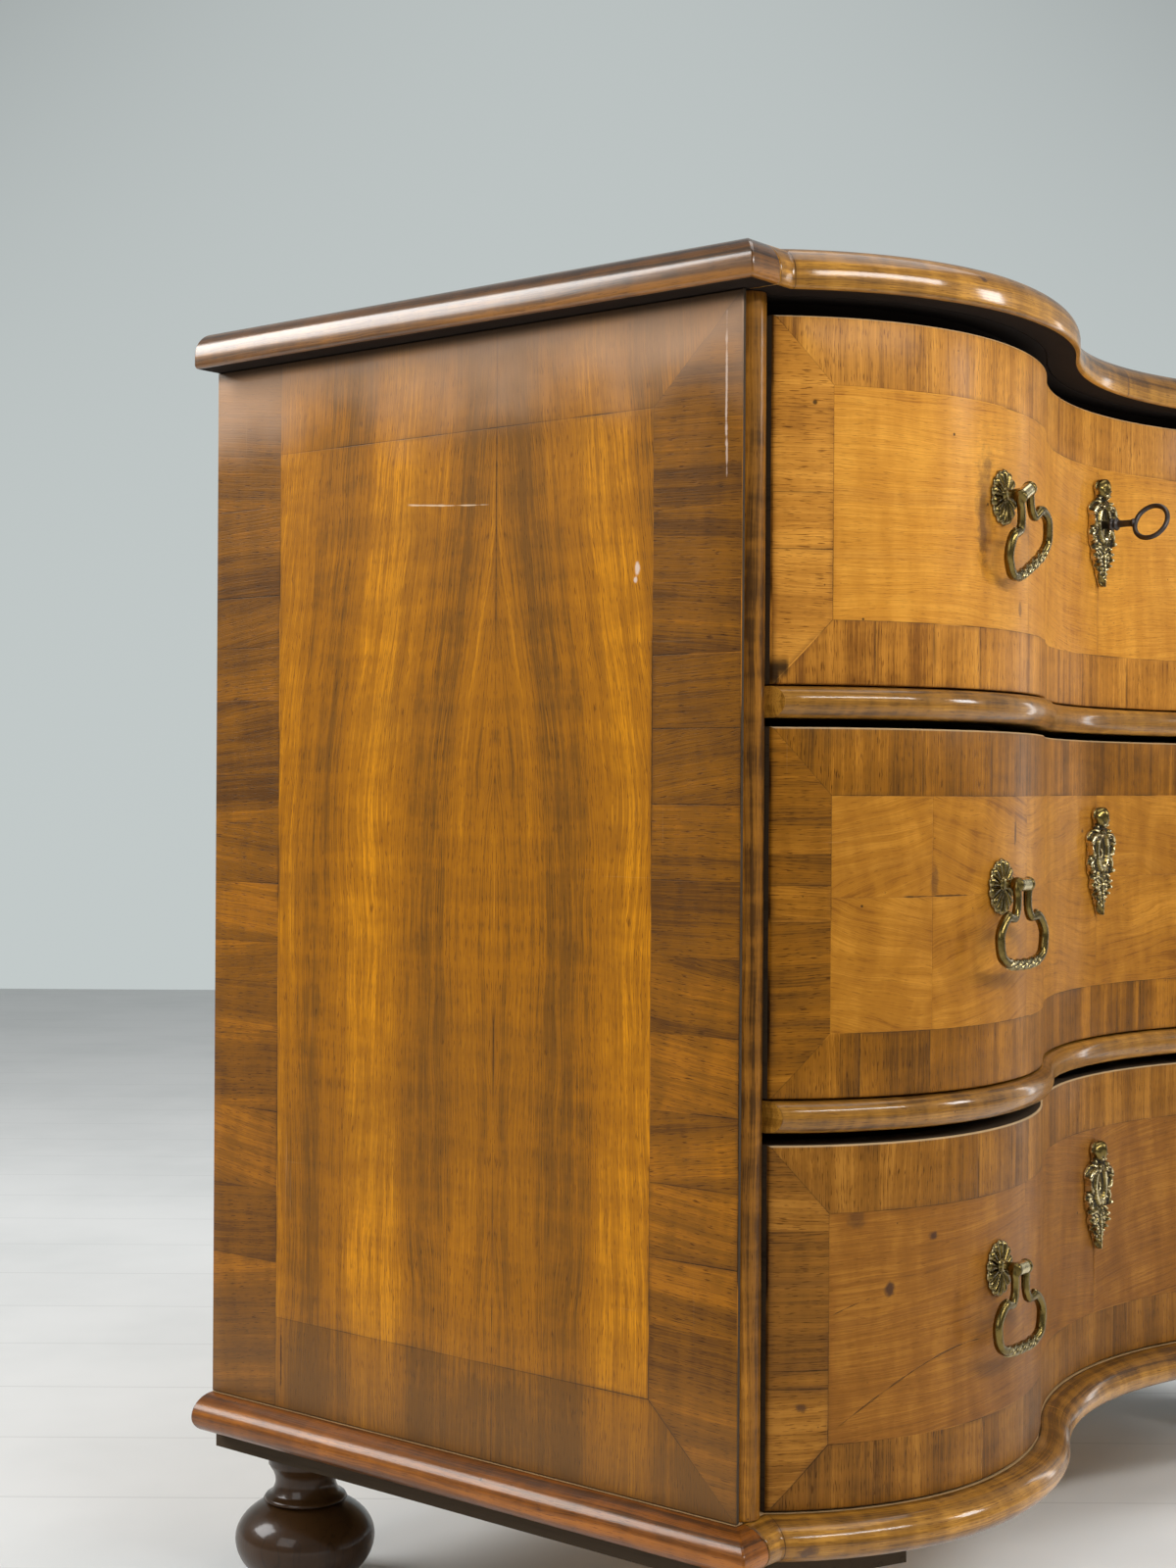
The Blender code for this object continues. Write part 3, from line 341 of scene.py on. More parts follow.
@dataclass(frozen=True)
class Walnut(Finish):
    """Polished walnut, as veneer leaves or as solid mouldings, that reads its own grain map.

    The streaks may also be listed, as distances from the leaf's own edge and lightness there.
    Spots hold their middle, height, half width, half height and how strongly they show, below 0 for
    pale ones. Cracks and scratches hold their start, height, run, rise, bow and width.
    """

    name: str
    slot: str
    light: Colour
    middle: Colour
    dark: Colour
    stain: Colour = srgb(86, 50, 30)
    streaks: float = 0.55
    base: float = 0.5
    sway: float = 0.012
    fine: float = 0.35
    fibre: float = 0.22
    mottle: float = 0.2
    pores: float = 0.6
    rings: float = 0.0
    ring_gap: float = 0.005
    ring_warp: float = 6.0
    mineral: float = 0.5
    holes: float = 26.0
    rough: float = 0.42
    gloss: float = 0.2
    coat: float = 0.08
    coat_rough: float = 0.2
    # Height from which the painted sheen, with the polish's bloom, rises on the side panel.
    haze_from: float | None = None
    laid_streaks: tuple[Point, ...] = ()
    seam_share: float = 1.0
    # How strongly the painted highlight lightens the faces that turn upwards.
    worn: float = 0.0
    across: int = 0
    spots: Marks = ()
    cracks: Marks = ()
    scratches: Marks = ()

    def dress(self, net: Net, shader: Node) -> None:
        """Builds the walnut's nodes."""
        place = net.add("ShaderNodeTexCoord")["Object"]
        figure = self.figure(net, net.add("ShaderNodeUVMap", uv_map="Grain")[0])
        seams = ShaderGroup.place(net, "Seam lines", {"Place": place, "Width": 0.00048}, fill_seams)
        age = ShaderGroup.place(net, "Marks of age", {"Place": place, "Holes": self.holes}, fill_age)
        seam_tint = net.mix(seams["Pale"], (0.016, 0.007, 0.003), self.light)
        colour = figure["Colour"]
        for share, tint in (
            (age["Grime"] * 0.28, self.dark), (seams["Shade"] * self.seam_share, self.stain),
            (seams["Line"] * self.seam_share, seam_tint), (age["Holes"] * 0.85, (0.012, 0.006, 0.003)),
            (age["Scratches"] * 0.14, srgb(214, 176, 130))
        ):
            colour = net.mix(share, colour, tint)
        rough = age["Grime"] * 0.1 + self.rough
        # Painted sheen: towards the panel's top the colour turns a pale milky grey. It stands for the polish
        # reflecting the bright room above, and partly for the bloom of old polish.
        if self.haze_from is not None:
            up = net.parts(place)[2]
            cloud = (net.noise(place, 9.0, 3.0) - 0.5) * 0.1
            sheen_and_bloom = net.between(up + cloud, self.haze_from, self.haze_from + 0.07)
            painted_shadow_under_moulding = net.between(up, SIZES.ceiling - 0.009, SIZES.ceiling - 0.002)
            colour = net.mix(sheen_and_bloom * 0.58, colour, srgb(204, 168, 140))
            # The panel turns darker and greyer towards its bottom.
            colour = net.mix(net.between(up, 0.25, 0.13) * 0.5, colour, srgb(112, 84, 58))
            # Painted shadow: the panel goes near black in its last few millimetres under the top moulding.
            colour = net.mix(painted_shadow_under_moulding * 0.85, colour, (0.008, 0.004, 0.002))
            rough = sheen_and_bloom * 0.08 + rough
        # Painted highlight: faces that turn upwards, such as the drawer fronts' top arrises, are lightened
        # towards pale wood, as where light catches them.
        if self.worn:
            rise = net.parts(net.add("ShaderNodeTexCoord")["Normal"])[2]
            colour = net.mix(net.between(rise, 0.1, 0.7) * self.worn, colour, srgb(236, 208, 162))
        colour, cut = self.marked(net, place, colour)
        deep = seams["Line"] * -1.2 + figure["Height"]
        deep = net.math("MAXIMUM", cut, age["Holes"]) * -3.0 + deep
        normal = net.bump(deep + net.noise(place, 30.0) * 1.6, 0.35)
        net.feed(shader, {"Base Color": colour, "Roughness": rough, "Normal": normal})
        net.feed(shader, {"Specular IOR Level": self.gloss, "Specular Tint": (1.0, 0.66, 0.28)})
        net.feed(shader, {"Coat Weight": self.coat, "Coat Roughness": self.coat_rough})

    def figure(self, net: Net, grain: Signal) -> Placed:
        """Places the figure with this finish's values, and the streaks that are listed."""
        base = net.attribute("Tone")["Fac"] + self.base
        if self.laid_streaks:
            sway = net.noise(grain * (4.0, 9.0, 1.0), 1.0, 3.0)
            across = (sway - 0.5) * 0.022 + net.parts(grain)[1]
            stops = [(reach / 0.2, (value, value, value)) for reach, value in self.laid_streaks]
            base = base + net.ramp(across * 5.0, stops)
        words = ("Sway", "Streaks", "Fine", "Fibre", "Mottle", "Pores", "Rings", "Mineral")
        words += ("Light", "Middle", "Dark", "Stain")
        given = {word: getattr(self, word.lower()) for word in words}
        given |= {"Ring rate": math.tau / self.ring_gap, "Ring warp": self.ring_warp}
        return ShaderGroup.place(net, "Walnut figure", {"Place": grain, "Base": base} | given, fill_figure)

    def marked(self, net: Net, place: Signal, colour: Signal) -> tuple[Signal, object]:
        """Lays the spots, cracks and scratches over the wood.

        Args:
            net: the material's net.
            place: the object coordinates.
            colour: the wood's colour.

        Returns:
            The marked colour, and how deep the marks cut.
        """
        parts = net.parts(place)
        face = {"Place": place, "Across": parts[self.across], "Up": parts[2]}
        for *spot, share in self.spots:
            inputs = face | dict(zip(("Middle", "Height", "Wide", "High"), spot))
            mask = ShaderGroup.place(net, "Spot", inputs, fill_spot)[0]
            tint = (0.06, 0.026, 0.014) if share > 0 else srgb(214, 190, 172)
            colour = net.mix(mask * abs(share), colour, tint)
        cut: object = 0.0
        for line in self.cracks + self.scratches:
            inputs = face | dict(zip(("Start", "Height", "Run", "Rise", "Bow", "Width"), line))
            mask = ShaderGroup.place(net, "Hair line", inputs, fill_crack)[0]
            tint = (0.014, 0.007, 0.004) if line in self.cracks else srgb(226, 196, 160)
            colour = net.mix(mask * 0.75, colour, tint)
            cut = net.math("MAXIMUM", mask, cut)
        return colour, cut


@dataclass(frozen=True)
class BoardWood(Finish):
    """Plain sawn wood on object coordinates, raw inside the chest or stained on its feet and bearers."""

    name: str
    slot: str
    light: Colour
    dark: Colour
    along: Vector
    rough: float = 0.72
    coat: float = 0.0
    ring: float = 0.035

    def dress(self, net: Net, shader: Node) -> None:
        """Builds the plain wood's nodes."""
        place = net.add("ShaderNodeTexCoord")["Object"]
        narrow = place * tuple(Vector((1.0, 1.0, 1.0)) - 0.94 * self.along)
        sway = net.noise(place, 4.0)
        shift = net.add("ShaderNodeCombineXYZ", {"X": sway, "Y": sway, "Z": sway})[0]
        rings = net.noise(shift * (0.03, 0.03, 0.03) + narrow, 1.0 / self.ring, 3.0, 0.55)
        fibre = net.noise(narrow, 900.0)
        knots = net.add("ShaderNodeTexVoronoi", {"Vector": narrow, "Scale": 9.0})["Distance"]
        late = net.between(abs(net.math("FRACT", rings * 11.0) - 0.5), 0.3, 0.5)
        value = net.between(rings, 0.25, 0.75) * 0.45 + 0.45
        value = fibre * 0.3 + (late * -0.62 + value)
        value = value - (0.25 - net.between(knots, 0.03, 0.12))
        colour = net.mix(value * 0.8, self.dark, self.light)
        stain = net.between(net.noise(narrow, 9.0, 4.0, 0.6), 0.5, 0.75)
        colour = net.mix(stain * 0.25, colour, self.dark)
        net.feed(shader, {"Base Color": colour, "Roughness": stain * 0.08 + self.rough})
        net.feed(shader, {"Normal": net.bump(fibre, 0.4), "Specular IOR Level": 0.15})
        net.feed(shader, {"Coat Weight": self.coat, "Coat Roughness": 0.12})


@dataclass(frozen=True)
class OldMetal(Finish):
    """Cast brass or forged iron, dark in its hollows and bright where hands have rubbed it."""

    name: str
    slot: str
    body: Colour
    bright: Colour
    grime: Colour
    rough: float = 0.34
    pits: float = 900.0

    def dress(self, net: Net, shader: Node) -> None:
        """Builds the metal's nodes."""
        place = net.add("ShaderNodeTexCoord")["Object"]
        relief = ShaderGroup.place(net, "Relief wear", {"Place": place}, fill_relief)
        cloud = net.between(net.noise(place, 160.0, 3.0), 0.35, 0.7)
        colour = net.mix(cloud, self.body, net.mix(0.35, self.body, self.grime))
        colour = net.mix(relief["High"] * 0.8, colour, self.bright)
        colour = net.mix(relief["Hollow"] * 0.9, colour, self.grime)
        rough = cloud * 0.1 + (relief["Hollow"] * 0.3 + self.rough)
        net.feed(shader, {"Base Color": colour, "Roughness": rough})
        net.feed(shader, {"Metallic": relief["Hollow"] * -0.5 + 1.0})
        net.feed(shader, {"Normal": net.bump(net.noise(place, self.pits), 0.13)})


class Dressing:
    """The chest's finishes."""

    side_field = Walnut(
        "side_walnut", "walnut_case", light=srgb(214, 140, 16), middle=srgb(158, 98, 12),
        dark=srgb(108, 68, 17), stain=srgb(98, 60, 22), streaks=0.2, base=-0.03, sway=0.022, fine=0.2,
        fibre=0.3, mottle=0.16, pores=0.7, mineral=0.2, haze_from=0.768,
        laid_streaks=(
            (0.0, 0.48), (0.022, 0.5), (0.04, 0.3), (0.062, 0.34), (0.082, 0.6), (0.11, 0.8), (0.13, 0.56),
            (0.15, 0.27), (0.172, 0.29), (0.186, 0.6)
        ), across=1,
        spots=(
            (-0.1022, 0.6868, 0.0022, 0.0042, -0.9), (-0.1008, 0.68, 0.0018, 0.0024, -0.9),
            (0.1986, 0.17, 0.0012, 0.03, 0.9)
        ), scratches=((0.0145, 0.7335, 0.072, 0.005, -0.002, 0.0006),)
    )
    top_field = replace(
        side_field, name="top_walnut", base=0.5, streaks=0.5, sway=0.05, haze_from=None, laid_streaks=(),
        spots=(), scratches=()
    )
    side_band = Walnut(
        "side_band_walnut", "walnut_case", light=srgb(166, 103, 20), middle=srgb(124, 77, 16),
        dark=srgb(86, 52, 18), stain=srgb(76, 44, 20), streaks=0.46, base=0.42, fine=0.24, fibre=0.24,
        pores=0.8, mineral=0.34, haze_from=0.768, across=1,
        spots=((-0.1663, 0.79, 0.001, 0.05, -0.7), (-0.1668, 0.75, 0.0009, 0.016, -0.6))
    )
    top_band = replace(side_band, name="top_band_walnut", haze_from=None, spots=())
    front_field = Walnut(
        "front_walnut_1", "walnut_front", light=srgb(222, 156, 58), middle=srgb(196, 131, 42),
        dark=srgb(150, 90, 26), stain=srgb(126, 70, 34), streaks=0.16, base=0.58, sway=0.02, mottle=0.3,
        fine=0.14, fibre=0.26, pores=0.35, rings=0.17, ring_gap=0.0056, ring_warp=13.0, mineral=0.18,
        holes=34.0, seam_share=0.45,
        spots=(
            (-0.2985, 0.73, 0.012, 0.05, 0.45), (-0.301, 0.72, 0.006, 0.026, 0.5),
            (-0.296, 0.756, 0.005, 0.012, 0.35), (-0.25, 0.67, 0.003, 0.006, 0.5)
        )
    )
    # Darker for the lower drawers: partly a browner wood, partly painted shade of the light falling off
    # downwards.
    front_field_2 = replace(
        front_field, name="front_walnut_2", light=srgb(194, 132, 44), middle=srgb(166, 108, 30),
        dark=srgb(128, 78, 22), stain=srgb(110, 66, 30), streaks=0.22, sway=0.05, rings=0.24,
        ring_gap=0.0084, ring_warp=17.0, mottle=0.38, seam_share=0.3,
        spots=(
            (-0.256, 0.529, 0.0022, 0.012, 0.8), (-0.342, 0.501, 0.0042, 0.012, 0.5),
            (-0.024, 0.527, 0.003, 0.0022, 0.8)
        ), cracks=((-0.365, 0.4931, 0.052, 0.0, 0.0006, 0.0005),)
    )
    front_field_3 = replace(
        front_field, name="front_walnut_3", light=srgb(166, 110, 40), middle=srgb(134, 84, 28),
        dark=srgb(98, 58, 22), stain=srgb(84, 46, 28), sway=0.018, rings=0.16, ring_warp=5.0,
        spots=(
            (-0.341, 0.2906, 0.004, 0.0034, 0.95), (-0.3712, 0.2628, 0.004, 0.0056, 0.95),
            (-0.39, 0.305, 0.007, 0.008, 0.5)
        ),
        cracks=(
            (-0.4018, 0.1823, 0.108, 0.04, 0.052, 0.00042), (-0.4055, 0.2478, 0.023, 0.01, 0.004, 0.0004)
        )
    )
    front_band = Walnut(
        "front_band_walnut_1", "walnut_front", light=srgb(214, 148, 58), middle=srgb(182, 120, 42),
        dark=srgb(126, 77, 26), stain=srgb(104, 62, 30), streaks=0.42, base=0.5, fine=0.26, fibre=0.28,
        pores=0.8, mineral=0.4, worn=0.6,
        # These four short dark lines at drawer 1's lower-left corner paint the shade inside a chipped notch.
        cracks=(
            (-0.434, 0.6278, 0.0102, 0.0, 0.0, 0.008), (-0.434, 0.627, 0.0095, 0.0, 0.0, 0.008),
            (-0.434, 0.6215, 0.0062, 0.0, 0.0, 0.0095), (-0.434, 0.6215, 0.0056, 0.0, 0.0, 0.0095)
        ), holes=22.0
    )
    # The lower drawers' bands are darker in the same way: partly browner wood, partly painted shade.
    front_band_2 = replace(
        front_band, name="front_band_walnut_2", light=srgb(178, 116, 32), middle=srgb(136, 85, 19),
        dark=srgb(88, 54, 16), stain=srgb(76, 48, 22), mineral=0.5, cracks=()
    )
    front_band_3 = replace(
        front_band, name="front_band_walnut_3", light=srgb(172, 116, 44), middle=srgb(134, 86, 28),
        dark=srgb(92, 58, 22), stain=srgb(82, 52, 28), spots=((-0.417, 0.196, 0.003, 0.0034, 0.8),),
        cracks=()
    )
    dark_edge = Walnut(
        "edge_walnut_dark", "walnut_edge", light=srgb(144, 92, 32), middle=srgb(100, 61, 20),
        dark=srgb(48, 28, 11), fine=0.42, rough=0.34, coat=1.0, coat_rough=0.17
    )
    warm_edge = Walnut(
        "edge_walnut_warm", "walnut_edge", light=srgb(192, 136, 52), middle=srgb(142, 96, 32),
        dark=srgb(80, 51, 19), fine=0.42, mottle=0.34, rough=0.36, coat=0.62, coat_rough=0.12, holes=30.0,
        spots=((-0.33, 0.86, 0.004, 0.003, 0.9), (-0.43, 0.118, 0.006, 0.005, 0.8))
    )
    red_edge = Walnut(
        "edge_walnut_red", "walnut_edge", light=srgb(166, 98, 30), middle=srgb(124, 69, 19),
        dark=srgb(68, 37, 13), fine=0.42, rough=0.34, coat=0.5, coat_rough=0.16, holes=30.0
    )
    post_edge = replace(
        warm_edge, name="edge_walnut_post", light=srgb(184, 122, 38), middle=srgb(132, 84, 24),
        dark=srgb(64, 38, 12), coat=0.16, spots=()
    )
    foot = BoardWood(
        "foot_stain", "stained_foot", light=srgb(60, 39, 18), dark=srgb(20, 13, 6),
        along=Vector((0.0, 0.0, 1.0)), rough=0.34, coat=0.45
    )
    # Near black that paints shadow: on the top rail over the top drawer, on the slab's back and edges, and
    # on the mouldings' undersides.
    rail = BoardWood(
        "rail_stain", "stained_foot", light=srgb(30, 21, 15), dark=srgb(12, 8, 6),
        along=Vector((1.0, 0.0, 0.0)), rough=0.9
    )
    # Dark stained wood on the bearers, and painted shade on the edges of the side panels and drawer fronts,
    # where they show in the gaps.
    bearer = BoardWood(
        "bearer_stain", "stained_foot", light=srgb(66, 54, 40), dark=srgb(29, 23, 17),
        along=Vector((0.0, 1.0, 0.0)), rough=0.8
    )
    pine_x = BoardWood(
        "pine_along_x", "inner_pine", light=srgb(186, 150, 104), dark=srgb(122, 88, 54),
        along=Vector((1.0, 0.0, 0.0))
    )
    pine_upper = replace(pine_x, name="pine_upper_back", light=srgb(170, 134, 92), dark=srgb(102, 72, 44))
    pine_y = BoardWood(
        "pine_along_y", "inner_pine", light=srgb(190, 154, 108), dark=srgb(126, 92, 56),
        along=Vector((0.0, 1.0, 0.0))
    )
    brass = OldMetal(
        "aged_brass", "old_brass", body=srgb(120, 102, 56), bright=srgb(228, 212, 168),
        grime=srgb(18, 13, 7), rough=0.21
    )
    iron = OldMetal(
        "aged_iron", "old_iron", body=srgb(84, 78, 74), bright=srgb(158, 150, 142), grime=srgb(26, 23, 21),
        rough=0.4
    )


# Flat boards, bent boards and mouldings


@dataclass(frozen=True)
class FrontCurve:
    """The serpentine of the chest's front in plan: two bulges with a hollow between them.

    The outer arcs leave the flat corners, the crowns lie crown_in from the case sides, and the hollow is
    tangent to both inner arcs.
    """

    half: float
    face: float
    corner: float = 0.028
    crown_in: float = 0.176
    bulge: float = 0.068
    inner_radius: float = 0.259
    sweep: float = math.radians(28.6)

    @property
    def crown_x(self) -> float:
        """X of the left crown."""
        return -self.half + self.crown_in

    @property
    def outer_radius(self) -> float:
        """Radius of the arc between corner and crown."""
        return ((self.crown_in - self.corner) ** 2 + self.bulge**2) / (2 * self.bulge)

    @property
    def hollow_radius(self) -> float:
        """Radius of the hollow."""
        return -self.crown_x / math.sin(self.sweep) - self.inner_radius

    def lengths(self, start_x: float) -> tuple[float, float, float]:
        """Lengths of the outer, inner and hollow arcs of the left half, from start_x."""
        outer = self.outer_radius * math.asin((self.crown_x - start_x) / self.outer_radius)
        return outer, self.inner_radius * self.sweep, self.hollow_radius * self.sweep

    def at(self, distance: float, offset: float, start_x: float, on_flat: bool = False) -> Point:
        """A point of the curve moved outwards.

        Args:
            distance: length along the curve from start_x, at offset 0.
            offset: how far the point lies outside the curve.
            start_x: X where the curve starts.
            on_flat: whether the moved curve starts where it meets the moved flat of the corner.

        Returns:
            X and Y of the point.
        """
        outer, inner, hollow = self.lengths(start_x)
        mirror = distance > outer + inner + hollow
        if mirror:
            distance = 2 * (outer + inner + hollow) - distance
        crown = self.face - self.bulge
        centre = (self.crown_x, crown + self.inner_radius)
        if distance < outer:
            radius = self.outer_radius + offset
            centre = (self.crown_x, crown + self.outer_radius)
            start = math.asin(min((self.crown_x - start_x) / radius, 1.0))
            if on_flat:
                start = math.acos((centre[1] - self.face + offset) / radius)
            angle = -start * (1 - distance / outer)
        elif distance < outer + inner:
            radius = self.inner_radius + offset
            angle = (distance - outer) / self.inner_radius
        else:
            radius = offset - self.hollow_radius
            angle = self.sweep - (distance - outer - inner) / self.hollow_radius
            centre = (0.0, centre[1] - (self.inner_radius + self.hollow_radius) * math.cos(self.sweep))
        x, y = centre[0] + radius * math.sin(angle), centre[1] - radius * math.cos(angle)
        return (-x if mirror else x), y

    def stations(self, start_x: float, steps: tuple[int, int, int] = (40, 24, 26)) -> list[float]:
        """Distances along the curve, from end to end, at which its arcs are sampled."""
        places = [0.0]
        for length, count in zip(self.lengths(start_x), steps):
            begin = places[-1]
            places += [begin + length * (i + 1) / count for i in range(count)]
        return places + [2 * places[-1] - place for place in reversed(places[:-1])]


@dataclass
class Leaf:
    """One veneer leaf: its corners going round, the way its grain runs, and its tone."""

    corners: list[Point]
    grain: float
    tone: float = 0.0
    origin: Point = (0.0, 0.0)
    flip: bool = False
    wear: int = 0
    bend: Callable[[float], float] | None = None

    def edges(self) -> list[tuple[Point, Point]]:
        """Its edges, as start and stop."""
        return list(zip(self.corners, self.corners[1:] + self.corners[:1]))

    def edge_distances(self, at: Point) -> list[float]:
        """How far a point lies inside each of the leaf's first four edges."""
        turn = math.copysign(1.0, sum(ax * by - bx * ay for (ax, ay), (bx, by) in self.edges()))
        found = []
        for (ax, ay), (bx, by) in self.edges():
            inside = (bx - ax) * (at[1] - ay) - (by - ay) * (at[0] - ax)
            found.append(turn * inside / math.hypot(bx - ax, by - ay))
        return found + [1.0] * (4 - len(found))

    def holds(self, at: Point) -> bool:
        """Whether a point lies in the leaf."""
        return min(self.edge_distances(at)) > -1e-6

    def grain_at(self, at: Point, seed: int) -> Point:
        """The point's own place along and across the leaf's grain."""
        x, y = at[0] - self.origin[0], at[1] - self.origin[1]
        along = x * math.cos(self.grain) + y * math.sin(self.grain)
        across = y * math.cos(self.grain) - x * math.sin(self.grain)
        if self.bend:
            across += self.bend(at[1])
        if self.flip:
            across = -across
        if self.origin != (0.0, 0.0):
            return along, across
        return along + 0.731 * seed, across + 1.377 * seed


@dataclass
class BentBoard:
    """A board that is made flat, cut along its veneer seams, and then bent to its place.

    A flat point is its distance along the board, its depth behind the face and its height. Stations are
    distances with the board's thickness there, and rows are the heights that the face is cut at.
    """

    stations: list[Point]
    rows: list[float]
    placer: Placer
    leaves: list[Leaf]
    arris: float = 0.0012

    def drop(self, inside: float) -> float:
        """How far the face falls back this far inside an edge."""
        if inside >= self.arris:
            return 0.0
        return self.arris - math.sqrt(max(self.arris**2 - (self.arris - inside) ** 2, 0.0))

    def mesh(self, name: str) -> Mesh:
        """Builds the board.

        Args:
            name: the mesh's name.

        Returns:
            A closed mesh with grain map, seam distances and tones.
        """
        work = bmesh.new()
        near = self.near_edge((90, 60, 30, 0))
        low, high = min(self.rows), max(self.rows)
        rows = sorted({*self.rows, *(low + d for d in near), *(high - d for d in near)})
        rings = []
        for along, thick in self.with_ends():
            points = [(along, 0.0, height) for height in rows]
            points += [(along, -thick, rows[-1]), (along, -thick, rows[0])]
            rings.append([work.verts.new(point) for point in points])
        bridge(work, rings)
        bmesh.ops.remove_doubles(work, verts=work.verts, dist=1e-7)
        for start, stop in {tuple(sorted(edge)): None for leaf in self.leaves for edge in leaf.edges()}:
            cut_face(work, start, stop)
        self.map_leaves(work)
        self.bend(work)
        return close_mesh(name, work, 32.0)

    def near_edge(self, angles: Sequence[float]) -> list[float]:
        """Distances from an edge at which its rounding is sampled."""
        return [self.arris * (1 - math.sin(math.radians(a))) for a in angles]

    def with_ends(self) -> list[Point]:
        """The stations with those of the rounded ends."""
        near = self.near_edge((60, 30, 0))
        first, last = self.stations[0], self.stations[-1]
        ends = [(first[0] + d, first[1]) for d in near] + [(last[0] - d, last[1]) for d in reversed(near)]
        inner = [s for s in self.stations[1:-1] if near[-1] < min(s[0] - first[0], last[0] - s[0])]
        return sorted([first, *ends[:3], *inner, *ends[3:], last], key=lambda s: s[0])

    def map_leaves(self, work: BMesh) -> None:
        """Writes each face's grain place, seam distances, tone and material."""
        grain = work.loops.layers.uv.new("Grain")
        seam = work.loops.layers.float_color.new("Seam")
        tone = work.faces.layers.float.new("Tone")
        for face in work.faces:
            middle = face.calc_center_median()
            on_face = [abs(v.co.y) < 1e-7 for v in face.verts]
            held = (x for x in self.leaves if x.holds((middle.x, middle.z)))
            leaf = next(held, None) if all(on_face) else None
            if leaf is None:
                # Edge faces take the fourth finish, which paints the shade of the gaps, and back faces take
                # the third.
                face.material_index = 3 if any(on_face) else 2
                for loop in face.loops:
                    spot = loop.vert.co
                    loop[grain].uv = (spot.x, spot.z + spot.y)
                    loop[seam] = (1.0, 1.0, 1.0, 1.0)
                continue
            face[tone] = leaf.tone
            face.material_index = leaf.wear
            seed = self.leaves.index(leaf) + 1
            for loop in face.loops:
                at = (loop.vert.co.x, loop.vert.co.z)
                loop[grain].uv = leaf.grain_at(at, seed)
                loop[seam] = leaf.edge_distances(at)[:4]

    def bend(self, work: BMesh) -> None:
        """Rounds the face's edges and moves every point to its place."""
        low, high = min(self.rows), max(self.rows)
        first, last = self.stations[0][0], self.stations[-1][0]
        for vert in work.verts:
            along, depth, height = vert.co
            if abs(depth) < 1e-7:
                depth -= max(map(self.drop, (height - low, high - height, along - first, last - along)))
            vert.co = self.placer(along, depth, height)


def arc(centre: Point, reach: Point, start: float, stop: float, steps: int) -> list[Point]:
    """Points of an arc, from start to stop in degrees, with its reach along each axis."""
    turns = [math.radians(start + (stop - start) * i / steps) for i in range(steps + 1)]
    return [(centre[0] + reach[0] * math.cos(a), centre[1] + reach[1] * math.sin(a)) for a in turns]


def bridge(work: BMesh, rings: Sequence[Sequence], closed: bool = False) -> None:
    """Joins rings of points into a wall, capped at its ends or closed on itself."""
    count = len(rings[0])
    for near, far in zip(rings, [*rings[1:], rings[0]] if closed else rings[1:]):
        for i in range(count):
            j = (i + 1) % count
            work.faces.new((near[i], near[j], far[j], far[i]))
    if not closed:
        work.faces.new(list(reversed(rings[0])))
        work.faces.new(rings[-1])


def cut_face(work: BMesh, start: Point, stop: Point) -> None:
    """Cuts the flat board's face along the line between two points."""
    spans = [(min(start[i], stop[i]) - 1e-5, max(start[i], stop[i]) + 1e-5) for i in (0, 1)]
    parts = set()
    for face in work.faces:
        if any(abs(v.co.y) > 1e-7 for v in face.verts):
            continue
        sides = ([v.co.x for v in face.verts], [v.co.z for v in face.verts])
        if all(min(side) < high and max(side) > low for side, (low, high) in zip(sides, spans)):
            parts.update([face, *face.edges, *face.verts])
    across = Vector((stop[1] - start[1], 0.0, start[0] - stop[0])).normalized()
    at = (start[0], 0.0, start[1])
    bmesh.ops.bisect_plane(work, geom=list(parts), dist=2e-6, plane_co=at, plane_no=across)


def close_mesh(name: str, work: BMesh, sharp: float) -> Mesh:
    """Turns a bmesh into a mesh with outward faces, smooth under an angle.

    Args:
        name: the mesh's name.
        work: the bmesh, which is freed.
        sharp: the angle in degrees from which an edge stays sharp.

    Returns:
        The mesh.
    """
    bmesh.ops.recalc_face_normals(work, faces=work.faces)
    mesh = bpy.data.meshes.new(name)
    work.to_mesh(mesh)
    work.free()
    mesh.shade_smooth()
    mesh.set_sharp_from_angle(angle=math.radians(sharp))
    return mesh


